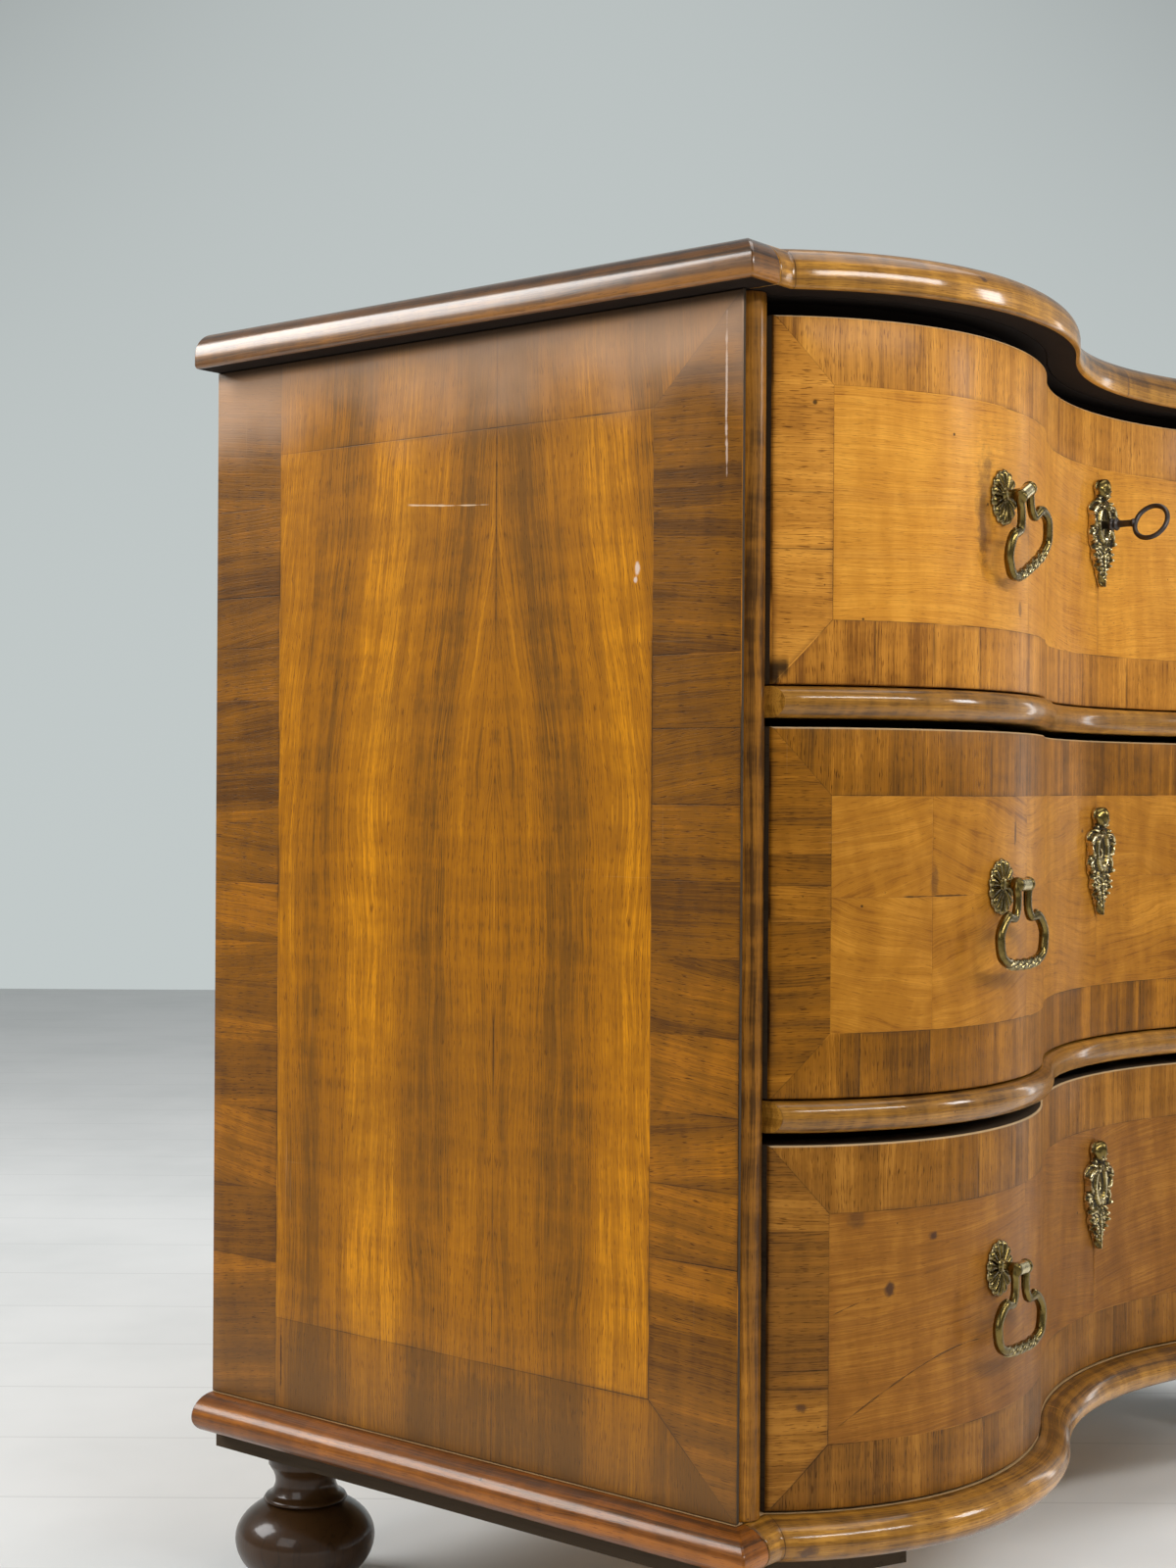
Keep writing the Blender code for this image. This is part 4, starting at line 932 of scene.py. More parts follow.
def sweep_mesh(
    name: str, rings: Sequence[Sequence[Vector]], along: Sequence[float], shaded_creases: Sequence[int] = (),
    joints: Sequence[float] = (), under: int = 0
) -> Mesh:
    """Bridges closed sections into a moulding whose grain runs along it.

    Args:
        name: the mesh's name.
        rings: the sections, as points that go round in the same order.
        along: each section's distance along the moulding.
        shaded_creases: the numbers of the section's points at creases, where a dark line and painted shade
            are laid.
        joints: the distances along at which two lengths meet.
        under: how many of the section's first faces wear the second finish.

    Returns:
        A closed mesh with grain map and seam distances.
    """
    work = bmesh.new()
    grain = work.loops.layers.uv.new("Grain")
    seam = work.loops.layers.float_color.new("Seam")
    loops = [[work.verts.new(point) for point in ring] for ring in rings]
    count = len(loops[0])
    around = [0.0]
    for here, there in zip(rings[0], [*rings[0][1:], rings[0][0]]):
        around.append(around[-1] + (there - here).length)
    for k, (near, far) in enumerate(zip(loops, loops[1:])):
        for i in range(count):
            j = (i + 1) % count
            face = work.faces.new((near[i], near[j], far[j], far[i]))
            face.material_index = 1 if i < under else 0
            corners = ((k, i), (k, i + 1), (k + 1, i + 1), (k + 1, i))
            for loop, (ring, spot) in zip(face.loops, corners):
                x, y = along[ring], around[spot]
                # Distance round the section to the nearest marked crease, which the seam lines darken as
                # painted shade.
                deep = min((abs(y - around[g % count]) for g in shaded_creases), default=1.0)
                joint = min((abs(x - j) for j in joints), default=1.0)
                loop[grain].uv = (x + 0.4, y)
                loop[seam] = (x - along[0], along[-1] - x, deep, joint)
    for ring in (list(reversed(loops[0])), loops[-1]):
        for loop in work.faces.new(ring).loops:
            loop[grain].uv = (loop.vert.co.z * 8, loop.vert.co.y)
            loop[seam] = (1.0, 1.0, 1.0, 1.0)
    return close_mesh(name, work, 30.0)


def linked(name: str, data: object) -> Object:
    """Puts data in the scene as an object."""
    made = bpy.data.objects.new(name, data)
    bpy.context.scene.collection.objects.link(made)
    return made


def piece(name: str, mesh: Mesh, body: str, finishes: Iterable[Finish], *stands_for: str) -> Object:
    """Puts a mesh in the scene as a piece that rides on a body.

    Args:
        name: the piece's name.
        mesh: its mesh, in place.
        body: the CAD body that it rides on.
        finishes: the finishes of its material numbers, in order.
        stands_for: the CAD nodes that it replaces.

    Returns:
        The piece's object.
    """
    made = linked(name, mesh)
    finishes = list(finishes)
    numbers = [face.material_index for face in mesh.polygons]
    mesh.materials.clear()
    for finish in finishes:
        mesh.materials.append(finish.material())
    mesh.polygons.foreach_set("material_index", numbers)
    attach(made, body)
    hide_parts(*stands_for)
    LOG.info("%s: %d faces on %s", name, len(mesh.polygons), body)
    return made


def modified(made: Object) -> Mesh:
    """The plain mesh that an object's modifiers give."""
    bpy.context.view_layer.update()
    graph = bpy.context.evaluated_depsgraph_get()
    done = made.evaluated_get(graph)
    return bpy.data.meshes.new_from_object(done, preserve_all_data_layers=True, depsgraph=graph)


def settle(made: Object) -> None:
    """Applies the modifiers of a piece, so that its mesh is final."""
    old, mesh = made.data, modified(made)
    made.modifiers.clear()
    made.data = mesh
    bpy.data.meshes.remove(old)


def soften(made: Object, width: float, angle: float = 38.0) -> None:
    """Rounds a piece's sharp edges a little, as wear has, and applies it."""
    modifier = made.modifiers.new("worn", "BEVEL")
    modifier.width = width
    modifier.segments = 2
    modifier.limit_method = "ANGLE"
    modifier.angle_limit = math.radians(angle)
    modifier.harden_normals = False
    settle(made)


def cut_with(target: Object, cutters: Sequence[Mesh]) -> None:
    """Cuts closed meshes out of an object and applies the cuts."""
    helpers = [linked("cutter", mesh) for mesh in cutters]
    for helper in helpers:
        modifier = target.modifiers.new("cut", "BOOLEAN")
        modifier.operation = "DIFFERENCE"
        modifier.solver = "MANIFOLD"
        modifier.object = helper
    settle(target)
    for helper in helpers:
        bpy.data.objects.remove(helper, do_unlink=True)


def block_mesh(name: str, low: Vector, high: Vector, worn: float = 0.0, steps: int = 1) -> Mesh:
    """A block between two corners, for cutting or with its edges rounded as by wear."""
    work = bmesh.new()
    bmesh.ops.create_cube(work, size=1.0)
    bmesh.ops.scale(work, vec=high - low, verts=work.verts)
    bmesh.ops.translate(work, vec=(low + high) / 2, verts=work.verts)
    if worn:
        bmesh.ops.bevel(work, geom=work.edges[:], offset=worn, segments=steps, profile=0.6, affect="EDGES")
    return close_mesh(name, work, 40.0 if steps > 1 else 30.0)


def extrude(work: BMesh, outline: Iterable[Sequence[float]], way: Sequence[float]) -> None:
    """Adds a flat outline to a bmesh, drawn out into a solid."""
    face = work.faces.new([work.verts.new(point) for point in outline])
    raised = bmesh.ops.extrude_face_region(work, geom=[face])
    moved = [item for item in raised["geom"] if isinstance(item, bmesh.types.BMVert)]
    bmesh.ops.translate(work, vec=way, verts=moved)


# Sizes read from the frame


@dataclass(frozen=True)
class ChestSizes:
    """Heights and faces of the case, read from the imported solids."""

    half: float
    front: float
    back: float
    floor: float
    ceiling: float

    @classmethod
    def from_frame(cls) -> "ChestSizes":
        """Reads the sizes from the left side."""
        low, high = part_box("side_left")
        return cls(-low.x, low.y, high.y, low.z - GAP, high.z)


SIZES = ChestSizes.from_frame()
CURVE = FrontCurve(SIZES.half, SIZES.front)


# Veneer layouts


def band_leaves(
    edges: Point, cuts: Sequence[float], ends: Point, rng: Random, slant: float, shade: float = 0.12,
    level: bool = False
) -> list[Leaf]:
    """Lays one band of cross-banding.

    Args:
        edges: where the panel's edge and the field's edge lie, across the band.
        cuts: where the leaves begin and end at the field's edge.
        ends: where the band begins and ends at the panel's edge.
        rng: gives each leaf its own lean and tone.
        slant: the most that a leaf's grain leans, in radians.
        shade: the most that a leaf's tone differs.
        level: whether the band lies level.

    Returns:
        The band's leaves.
    """
    (outer, inner), outside = edges, [ends[0], *cuts[1:-1], ends[1]]
    found = []
    for i in range(len(cuts) - 1):
        corners = [(outer, outside[i]), (inner, cuts[i]), (inner, cuts[i + 1]), (outer, outside[i + 1])]
        grain = rng.uniform(-1, 1) * slant
        if level:
            corners = [(corners[k][1], corners[k][0]) for k in (0, 3, 2, 1)]
            grain = math.pi / 2 + 0.3 * grain
        found.append(Leaf(corners, grain, rng.uniform(-shade, shade), wear=1))
    return found


@dataclass(frozen=True)
class Banding:
    """The cross-banding round a field: where its leaves meet, and its widths.

    Joints of the end bands are heights, and those of the bands below and above are distances along.
    """

    side_joints: tuple[float, ...]
    under_joints: tuple[float, ...]
    over_joints: tuple[float, ...]
    side: float = 0.0358
    under: float = 0.038
    over: float = 0.04
    slant: float = 0.05
    far_shift: float = 0.012

    def leaves(self, length: float, low: float, high: float, rng: Random) -> list[Leaf]:
        """Lays the four bands with mitred corners.

        Args:
            length: the panel's length.
            low: its lowest height.
            high: its highest height.
            rng: gives the leaves' own tones, and shifts the joints at the far end.

        Returns:
            The leaves of the four bands.
        """
        found = []
        for edges, shift in (((0.0, self.side), 0.0), ((length, length - self.side), self.far_shift)):
            joints = sorted(z + (rng.uniform(-shift, shift) if shift else 0.0) for z in self.side_joints)
            cuts = [low + self.under, *joints, high - self.over]
            found += band_leaves(edges, cuts, (low, high), rng, self.slant)
        for edges, joints in (
            ((low, low + self.under), self.under_joints), ((high, high - self.over), self.over_joints)
        ):
            cuts = [self.side, *joints, length - self.side]
            found += band_leaves(edges, cuts, (0.0, length), rng, self.slant, level=True)
        return found


# The case


@dataclass
class SidePanel:
    """One veneered side of the case: book-matched leaves in a frame of cross-banding."""

    side: int
    name: str
    band: float = 0.0636
    under: float = 0.0608
    over: float = 0.062
    seam_in: float = 0.1866
    front_joints: tuple[float, ...] = (
        0.2409, 0.2806, 0.3244, 0.3676, 0.4131, 0.458, 0.5029, 0.5473, 0.5917, 0.635, 0.6777, 0.7204
    )
    back_joints: tuple[float, ...] = (
        0.233, 0.2814, 0.3353, 0.3891, 0.422, 0.4498, 0.4902, 0.5307, 0.5644, 0.615, 0.651, 0.6858, 0.7459
    )
    thick: float = 0.022
    lip: float = 0.003
    lip_depth: float = 0.0303
    rebate: float = 0.0123
    rebate_thick: float = 0.01

    def build(self) -> None:
        """Makes the panel and sets it on the case."""
        low, high = SIZES.floor + GAP, SIZES.ceiling
        length = SIZES.back - SIZES.front
        leaves = self.field(length, low, high) + self.bands(length, low, high)
        turns = (
            (0.0, self.lip), (self.lip_depth, self.lip), (self.lip_depth, self.thick),
            (length - self.rebate, self.thick), (length - self.rebate, self.rebate_thick),
            (length, self.rebate_thick)
        )
        rows = [low + (high - low) * i / 36 for i in range(37)]
        board = BentBoard(list(turns), rows, self.put, leaves, 0.0008)
        finish = Dressing.side_field
        if self.side > 0:
            finish = replace(finish, name="side_walnut_right", spots=(), scratches=())
        finishes = (finish, Dressing.side_band, Dressing.pine_y, Dressing.bearer)
        piece(f"{self.name}_veneered", board.mesh(self.name), "case", finishes, self.name)

    def put(self, along: float, depth: float, height: float) -> Vector:
        """The place of a flat point."""
        return Vector((self.side * (SIZES.half + depth), SIZES.front + along, height))

    def bands(self, length: float, low: float, high: float) -> list[Leaf]:
        """The leaves of the two end bands, mitred at the front and running through at the back."""
        rng = Random(5 if self.side < 0 else 6)
        cuts = [low + self.under, *self.front_joints, high - self.over]
        found = band_leaves((0.0, self.band), cuts, (low, high), rng, 0.16, 0.14)
        cuts = [low, *self.back_joints, high]
        return found + band_leaves((length, length - self.band), cuts, (low, high), rng, 0.16, 0.14)

    def field(self, length: float, low: float, high: float) -> list[Leaf]:
        """The two book-matched leaves between the bands, and the same wood below and above them."""
        bottom, top = low + self.under, high - self.over

        def fan(height: float) -> float:
            share = min(max((high - height) / 0.34, 0.0), 1.0)
            return -0.034 * (share * share * (3 - 2 * share)) + 0.03

        seam, back, front = self.seam_in, length - self.band, self.band
        found = []
        for flip, side, corner in ((True, back, back), (False, front, 0.0)):
            spread = (lambda h: -fan(h)) if flip else fan
            for (a, z_a), (b, z_b), tone in (
                ((side, bottom), (side, top), 0.0), ((corner, low), (side, bottom), -0.2),
                ((side, top), (corner, high), -0.12)
            ):
                corners = [(seam, z_a), (a, z_a), (b, z_b), (seam, z_b)]
                tone -= 0.0 if flip else 0.05
                found.append(Leaf(corners, math.pi / 2, tone, (seam, 0.0), flip, 0, spread))
        return found


@dataclass
class TopSlab:
    """The slab inside the top mouldings: four matched leaves in cross-banding that follows the front."""

    name: str = "top_board"
    band: float = 0.066
    steps: tuple[int, int, int] = (16, 10, 10)

    def build(self) -> None:
        """Makes the slab and sets it on the case."""
        low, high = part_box(self.name)
        half, front = high.x, SIZES.front + GAP
        start = -SIZES.half + CURVE.corner
        edge = [CURVE.at(place, -GAP, start) for place in CURVE.stations(start, self.steps)]
        edge = [(-half, front), *edge, (half, front)]
        deep = high.y - front

        def put(along: float, depth: float, height: float) -> Vector:
            reach = height / deep * (high.y - self.front_at(edge, along - half))
            return Vector((along - half, high.y - reach, high.z + depth))

        middle, length = deep / 2, 2 * half
        joints = (0.15, 0.24, 0.32), (0.3, 0.52, 0.7), (0.3, 0.46, 0.62)
        banding = Banding(*joints, self.band, self.band, self.band, 0.1)
        leaves = banding.leaves(length, 0.0, deep, Random(31))
        for left, (xa, xb) in ((True, (self.band, half)), (False, (half, length - self.band))):
            for back, (ya, yb) in ((True, (self.band, middle)), (False, (middle, deep - self.band))):
                corners = [(xa, ya), (xb, ya), (xb, yb), (xa, yb)]
                lean = 0.16 if left == back else -0.16
                leaves.append(Leaf(corners, lean, 0.0, (half, middle), back))
        places = dict.fromkeys(round(x + half, 6) for x, _ in edge)
        board = BentBoard([(x, high.z - low.z) for x in places], [0.0, deep], put, leaves, 0.0004)
        # The slab's back and edges wear near black, as painted shadow.
        finishes = (Dressing.top_field, Dressing.top_band, Dressing.rail, Dressing.rail)
        piece(f"{self.name}_veneered", board.mesh(self.name), "case", finishes, self.name)

    @staticmethod
    def front_at(edge: list[Point], x: float) -> float:
        """Y of the slab's front edge at an X."""
        for (xa, ya), (xb, yb) in zip(edge, edge[1:]):
            if x <= xb:
                return ya + (yb - ya) * max(x - xa, 0.0) / (xb - xa)
        return edge[-1][1]


@dataclass
class CornerPost:
    """A corner post: a bead between two quirks."""

    side: int
    name: str
    lip: float = 0.003
    corner: float = 0.028
    depth: float = 0.03
    quirk: float = 0.006
    bead: float = 0.01

    def build(self) -> None:
        """Makes the post and sets it on the case."""
        near, far = -SIZES.half + self.lip + GAP, -SIZES.half + self.corner
        inner, outer = SIZES.front + self.quirk, SIZES.front + self.depth
        bead = arc(((near + far) / 2 - 0.0006, inner), (self.bead, -self.bead), 180, 0, 24)
        outline = [(near, outer), (near, inner), *bead, (far, inner), (far, outer)]
        heights = [SIZES.floor + GAP + (SIZES.ceiling - SIZES.floor - GAP) * i / 12 for i in range(13)]
        rings = [[Vector((-self.side * x, y, z)) for x, y in outline] for z in heights]
        # The quirks beside the bead get a dark line and painted shade.
        mesh = sweep_mesh(self.name, rings, heights, (0, 1, 2, 26, 27, 28))
        piece(f"{self.name}_bead", mesh, "case", (Dressing.post_edge,), self.name)


class Edge(Enum):
    """The two edge mouldings of the chest."""

    TOP = "top_moulding"
    BASE = "base_moulding"


@dataclass
class EdgeMoulding:
    """A moulding round the slab or the base: a swept front and two mitred sides with square returns."""

    edge: Edge
    return_end: float = 0.006
    return_long: float = 0.022
    arris: float = 0.0028
    round_rise: float = 0.0175

    def section(self) -> list[Point]:
        """The profile as (reach, height), going round: a thumbnail at the top, a half round at the base."""
        low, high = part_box(f"{self.edge.value}_left")
        reach, thick = -SIZES.half - low.x, high.z - low.z
        if self.edge is Edge.TOP:
            arris, rise = self.arris, self.round_rise
            points = arc((reach - arris, low.z + arris), (arris, arris), -90, 0, 4)
            points += arc((0.08 * reach, high.z - rise), (0.92 * reach, rise), 0, 90, 14)[1:]
            return [(0.0, low.z), *points, (0.0, high.z)]
        turns = arc((0.0, 0.0), (reach, 1.0), -86, 90, 21)
        points = [(x, low.z + thick * (0.46 + (0.54 if up > 0 else 0.46) * up)) for x, up in turns]
        return [(0.0, low.z), *points]

    def build(self) -> None:
        """Makes the three mouldings and sets them on the case."""
        section = self.section()
        start = -SIZES.half + CURVE.corner
        stations = sorted([*CURVE.stations(start), 0.0015, 0.344, 0.468])
        rings = [[Vector((*CURVE.at(s, reach, start, True), z)) for reach, z in section] for s in stations]
        lead = -SIZES.half + self.return_end
        ends = [[Vector((x, SIZES.front - reach, z)) for reach, z in section] for x in (lead, -lead)]
        along = [0.0, *(s + self.return_long for s in stations), stations[-1] + 2 * self.return_long]
        name = f"{self.edge.value}_front"
        joints = (0.0235, 0.366 if self.edge is Edge.BASE else 0.49)
        # The underside's edges get a dark line and painted shade.
        mesh = sweep_mesh(name, [ends[0], *rings, ends[1]], along, (0, 1), joints, 1)
        # The underside wears near black, as painted shadow, here and on the side runs.
        made = piece(f"{name}_swept", mesh, "case", (Dressing.warm_edge, Dressing.rail), name)
        soften(made, 0.0007)
        finish = Dressing.dark_edge if self.edge is Edge.TOP else Dressing.red_edge
        for side, label in ((-1, "left"), (1, "right")):
            name = f"{self.edge.value}_{label}"
            mesh = self.side_mesh(name, section, side)
            soften(piece(f"{name}_run", mesh, "case", (finish, Dressing.rail), name), 0.001)

    def side_mesh(self, name: str, section: list[Point], side: int) -> Mesh:
        """One side moulding with its return."""
        length = SIZES.back - SIZES.front
        along = [length * i / 8 for i in range(9)]
        rings = []
        for back in along:
            mitre = 1.0 if back == length else 0.0
            places = ((SIZES.half + reach, SIZES.back - back - mitre * reach, z) for reach, z in section)
            rings.append([Vector((side * x, y, z)) for x, y, z in places])
        end = side * (SIZES.half - self.return_end + GAP)
        rings.append([Vector((end, SIZES.front - reach, z)) for reach, z in section])
        # As on the front, the underside's edges get a dark line and painted shade.
        return sweep_mesh(name, rings, [*along, length + 0.03], (0, 1), (), 1)


@dataclass
class Divider:
    """A divider between two drawers: its half-round nose, its board and the drawer guides."""

    name: str
    nose: float = 0.0075
    lipping: float = 0.034
    side_thick: float = 0.022
    back_thick: float = 0.012
    notch_in: float = 0.0306
    drawer_gap: float = 0.001
    mortise_room: Vector = field(default_factory=lambda: Vector((0.0012, 0.0012, 0.0112)))

    def build(self) -> None:
        """Makes the nose in walnut and the board behind it in pine."""
        low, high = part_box(self.name)
        number = 1 if self.name.endswith("upper") else 2
        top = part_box(f"drawer_{number}_front")[0].z - self.drawer_gap
        start = -SIZES.half + CURVE.corner + GAP
        half = (top - low.z) / 2
        round_nose = arc((0.0, low.z + half), (self.nose, half), -90, 90, 14)
        section = [(-self.lipping, low.z), *round_nose, (-self.lipping, top)]
        stations = CURVE.stations(start)
        rings = [[Vector((*CURVE.at(s, reach, start), z)) for reach, z in section] for s in stations]
        # Where the round of the nose meets its top and bottom, a dark line and painted shade.
        mesh = sweep_mesh(self.name, rings, stations, (1, 15))
        made = piece(f"{self.name}_nose", mesh, "case", (Dressing.warm_edge,), self.name)
        near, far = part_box(f"lock_bolt_{number + 1}")
        cut_with(made, [block_mesh("mortise", near - self.mortise_room, far + self.mortise_room)])
        self.build_board(start, low.z, top, high.z)

    def build_board(self, start: float, low: float, high: float, guide_top: float) -> None:
        """The dust board behind the nose, with its two guides."""
        inner, back = SIZES.half - self.side_thick - GAP, SIZES.back - self.back_thick - GAP
        front = [CURVE.at(s, -self.lipping - GAP, start) for s in CURVE.stations(start, (12, 8, 8))]
        notch = SIZES.front + self.notch_in
        outline = [*front, (-front[0][0], notch), (inner, notch), (inner, back)]
        outline += [(-inner, back), (-inner, notch), (front[0][0], notch)]
        kept = [p for p, q in zip(outline, outline[-1:] + outline) if math.dist(p, q) > 1e-5]
        work = bmesh.new()
        extrude(work, [(x, y, low) for x, y in kept], (0.0, 0.0, high - low))
        ya, yb, foot = SIZES.front + 0.032, back - 0.003, high + 0.0001
        for side in (-1, 1):
            xa, xb = sorted((side * inner, side * (SIZES.half - CURVE.corner)))
            corners = [(xa, ya, foot), (xb, ya, foot), (xb, yb, foot), (xa, yb, foot)]
            extrude(work, corners, (0.0, 0.0, guide_top - foot))
        mesh = close_mesh(f"{self.name}_board", work, 30.0)
        piece(f"{self.name}_dust_board", mesh, "case", (Dressing.pine_x,), self.name)


# Drawers


@dataclass(frozen=True)
class DrawerVeneer:
    """The veneers of one drawer front: its banding, where its field is matched, and its two finishes."""

    banding: Banding
    field_joints: tuple[float, ...]
    level_joint: float | None
    leans: tuple[float, ...]
    field_finish: Walnut
    band_finish: Walnut

    def field(self, length: float, low: float, high: float) -> list[Leaf]:
        """The leaves of the field.

        Args:
            length: the front's length.
            low: its lowest height.
            high: its highest height.

        Returns:
            The leaves, in quarters where the field has a level joint.
        """
        bottom, top = low + self.banding.under, high - self.banding.over
        cuts = [self.banding.side, *self.field_joints, length - self.banding.side]
        rows = [bottom, top] if self.level_joint is None else [bottom, self.level_joint, top]
        found = []
        for z_low, z_high in zip(rows, rows[1:]):
            for i, (a, b) in enumerate(zip(cuts, cuts[1:])):
                corners = [(a, z_low), (b, z_low), (b, z_high), (a, z_high)]
                lean = math.radians(self.leans[i % len(self.leans)])
                tone = (0.02, -0.02, 0.01, -0.01, 0.02)[i % 5]
                found.append(Leaf(corners, lean if z_high == top else -lean, tone))
        return found


VENEERS = (
    DrawerVeneer(
        Banding(
            (0.6966, 0.7297),
            (0.0629, 0.105, 0.1465, 0.2152, 0.33, 0.4478, 0.5055, 0.582, 0.66, 0.742, 0.806, 0.858),
            (0.098, 0.1613, 0.2229, 0.3765, 0.4573, 0.5091, 0.566, 0.64, 0.716, 0.77, 0.836)
        ), (0.2152, 0.4619, 0.7086), None, (1.0, -5.0, 5.0, -2.0), Dressing.front_field, Dressing.front_band
    ),
    DrawerVeneer(
        Banding(
            (0.4797, 0.5003, 0.5185, 0.5356),
            (
                0.0418, 0.0542, 0.1034, 0.2099, 0.33, 0.4071, 0.4546, 0.4949, 0.5246, 0.61, 0.696, 0.742,
                0.82
            ),
            (0.0898, 0.0971, 0.1603, 0.2012, 0.3, 0.3962, 0.4571, 0.4956, 0.5465, 0.64, 0.73, 0.806, 0.85)
        ), (0.105, 0.215, 0.4619, 0.7086, 0.8186), 0.4931, (14.0, -14.0, 6.0, -6.0, 14.0, -14.0),
        Dressing.front_field_2, Dressing.front_band_2
    ),
    DrawerVeneer(
        Banding(
            (0.2068, 0.2176, 0.2924, 0.2985),
            (0.0647, 0.1538, 0.2146, 0.33, 0.428, 0.4907, 0.5107, 0.6, 0.7, 0.77, 0.846),
            (0.1214, 0.1477, 0.1904, 0.222, 0.33, 0.415, 0.4902, 0.5396, 0.64, 0.726, 0.79, 0.85)
        ), (0.2152, 0.4619, 0.7086), None, (4.0, -6.0, 6.0, -4.0), Dressing.front_field_3,
        Dressing.front_band_3
    )
)


@dataclass
class DrawerFront:
    """One drawer's serpentine front, veneered, with its lock mortise and keyhole."""

    number: int
    thick: float = 0.024
    end_gap: float = 0.0015
    lock_room: float = 0.0004

    def build(self) -> None:
        """Makes the front and sets it on its drawer."""
        name = f"drawer_{self.number}_front"
        low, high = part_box(name)
        start = -SIZES.half + CURVE.corner + self.end_gap
        places = CURVE.stations(start)
        veneer = VENEERS[self.number - 1]
        leaves = veneer.field(places[-1], low.z, high.z)
        leaves += veneer.banding.leaves(places[-1], low.z, high.z, Random(20 + self.number))

        def put(along: float, depth: float, height: float) -> Vector:
            return Vector((*CURVE.at(along, depth, start), height))

        rows = [low.z, low.z + veneer.banding.under, high.z - veneer.banding.over, high.z]
        board = BentBoard([(s, self.thick) for s in places], rows, put, leaves, 0.0013)
        finishes = (veneer.field_finish, veneer.band_finish, Dressing.pine_x, Dressing.bearer)
        made = piece(f"{name}_veneered", board.mesh(name), f"drawer_{self.number}", finishes, name)
        self.cut_lock(made, high.z)

    def cut_lock(self, made: Object, top: float) -> None:
        """Cuts the mortise behind and the keyhole through the front."""
        low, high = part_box(f"lock_case_{self.number}")
        near = low - Vector((self.lock_room, GAP, self.lock_room))
        far = Vector((high.x + self.lock_room, high.y + 0.04, top + 0.01))
        hole = keyhole_mesh(low.y - 0.04, key_height(self.number), 0.045)
        cut_with(made, [block_mesh("mortise", near, far), hole])


def keyhole_mesh(near: float, height: float, depth: float) -> Mesh:
    """A keyhole-shaped cutter at a height, from its near end's Y inwards: a round eye over a slot."""
    radius, half, drop = 0.0037, 0.0021, 0.015
    slot = math.degrees(math.asin(half / radius))
    outline = arc((0.0, 0.0), (radius, radius), slot - 90, 270 - slot, 24) + [(-half, -drop), (half, -drop)]
    work = bmesh.new()
    extrude(work, [(x, near, height + z) for x, z in outline], (0.0, depth, 0.0))
    return close_mesh("keyhole", work, 30.0)


def key_height(number: int) -> float:
    """Height of a drawer's keyhole."""
    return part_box(f"lock_case_{number}")[0].z + 0.024


def dress_node(name: str, finish: Finish) -> None:
    """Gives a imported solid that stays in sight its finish."""
    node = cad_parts[name]
    node.data.materials.clear()
    node.data.materials.append(finish.material())
    LOG.info("%s keeps its solid, in %s", name, finish.name)


# Shapes made by node trees


class ShapeTree:
    """A Geometry Nodes tree that is built once and run on a mesh with named sizes."""

    made: dict[str, NodeTree] = {}
    kinds = {Material: "Material", Object: "Object", int: "Int", float: "Float"}

    @classmethod
    def run(cls, name: str, start: Mesh, sizes: Given, fill: Callable[[Net, Given, Signal], Placed]) -> Mesh:
        """Runs a tree, and builds it first where it isn't there yet.

        Args:
            name: the tree's name.
            start: the mesh that goes in.
            sizes: the tree's inputs by name: whole numbers, sizes, an object and a material.
            fill: builds the inside and gives the node whose geometry comes out.

        Returns:
            The plain mesh that comes out.
        """
        if name not in cls.made:
            cls.made[name] = cls.build(name, sizes, fill)
        tree = cls.made[name]
        helper = linked(name, start)
        modifier = helper.modifiers.new(name, "NODES")
        modifier.node_group = tree
        for item in tree.interface.items_tree:
            if item.name in sizes and item.in_out == "INPUT":
                modifier[item.identifier] = sizes[item.name]
        mesh = modified(helper)
        bpy.data.objects.remove(helper, do_unlink=True)
        return mesh

    @classmethod
    def build(cls, name: str, sizes: Given, fill: Callable[[Net, Given, Signal], Placed]) -> NodeTree:
        """Builds a tree that ends in Realize Instances and Set Material."""
        tree = bpy.data.node_groups.new(name, "GeometryNodeTree")
        for way in ("INPUT", "OUTPUT"):
            tree.interface.new_socket("Geometry", in_out=way, socket_type="NodeSocketGeometry")
        for key, value in sizes.items():
            kind = "NodeSocket" + cls.kinds[type(value)]
            tree.interface.new_socket(key, in_out="INPUT", socket_type=kind)
        net = Net(tree)
        start = net.add("NodeGroupInput")
        shape = fill(net, {key: start[key] for key in sizes}, start["Geometry"])
        real = net.add("GeometryNodeRealizeInstances", {"Geometry": shape[0]})
        smooth = net.add("GeometryNodeSetShadeSmooth", {"Geometry": real[0]})
        inputs = {"Geometry": smooth[0], "Material": start["Material"]}
        net.add("NodeGroupOutput", {"Geometry": net.add("GeometryNodeSetMaterial", inputs)[0]})
        return tree


def line_mesh(name: str, points: Sequence[Sequence[float]], reaches: Sequence[float]) -> Mesh:
    """A line of points, each with its own reach, for a tree to work along."""
    mesh = bpy.data.meshes.new(name)
    mesh.from_pydata([tuple(p) for p in points], [(i, i + 1) for i in range(len(points) - 1)], [])
    mesh.attributes.new("Reach", "FLOAT", "POINT").data.foreach_set("value", list(reaches))
    return mesh


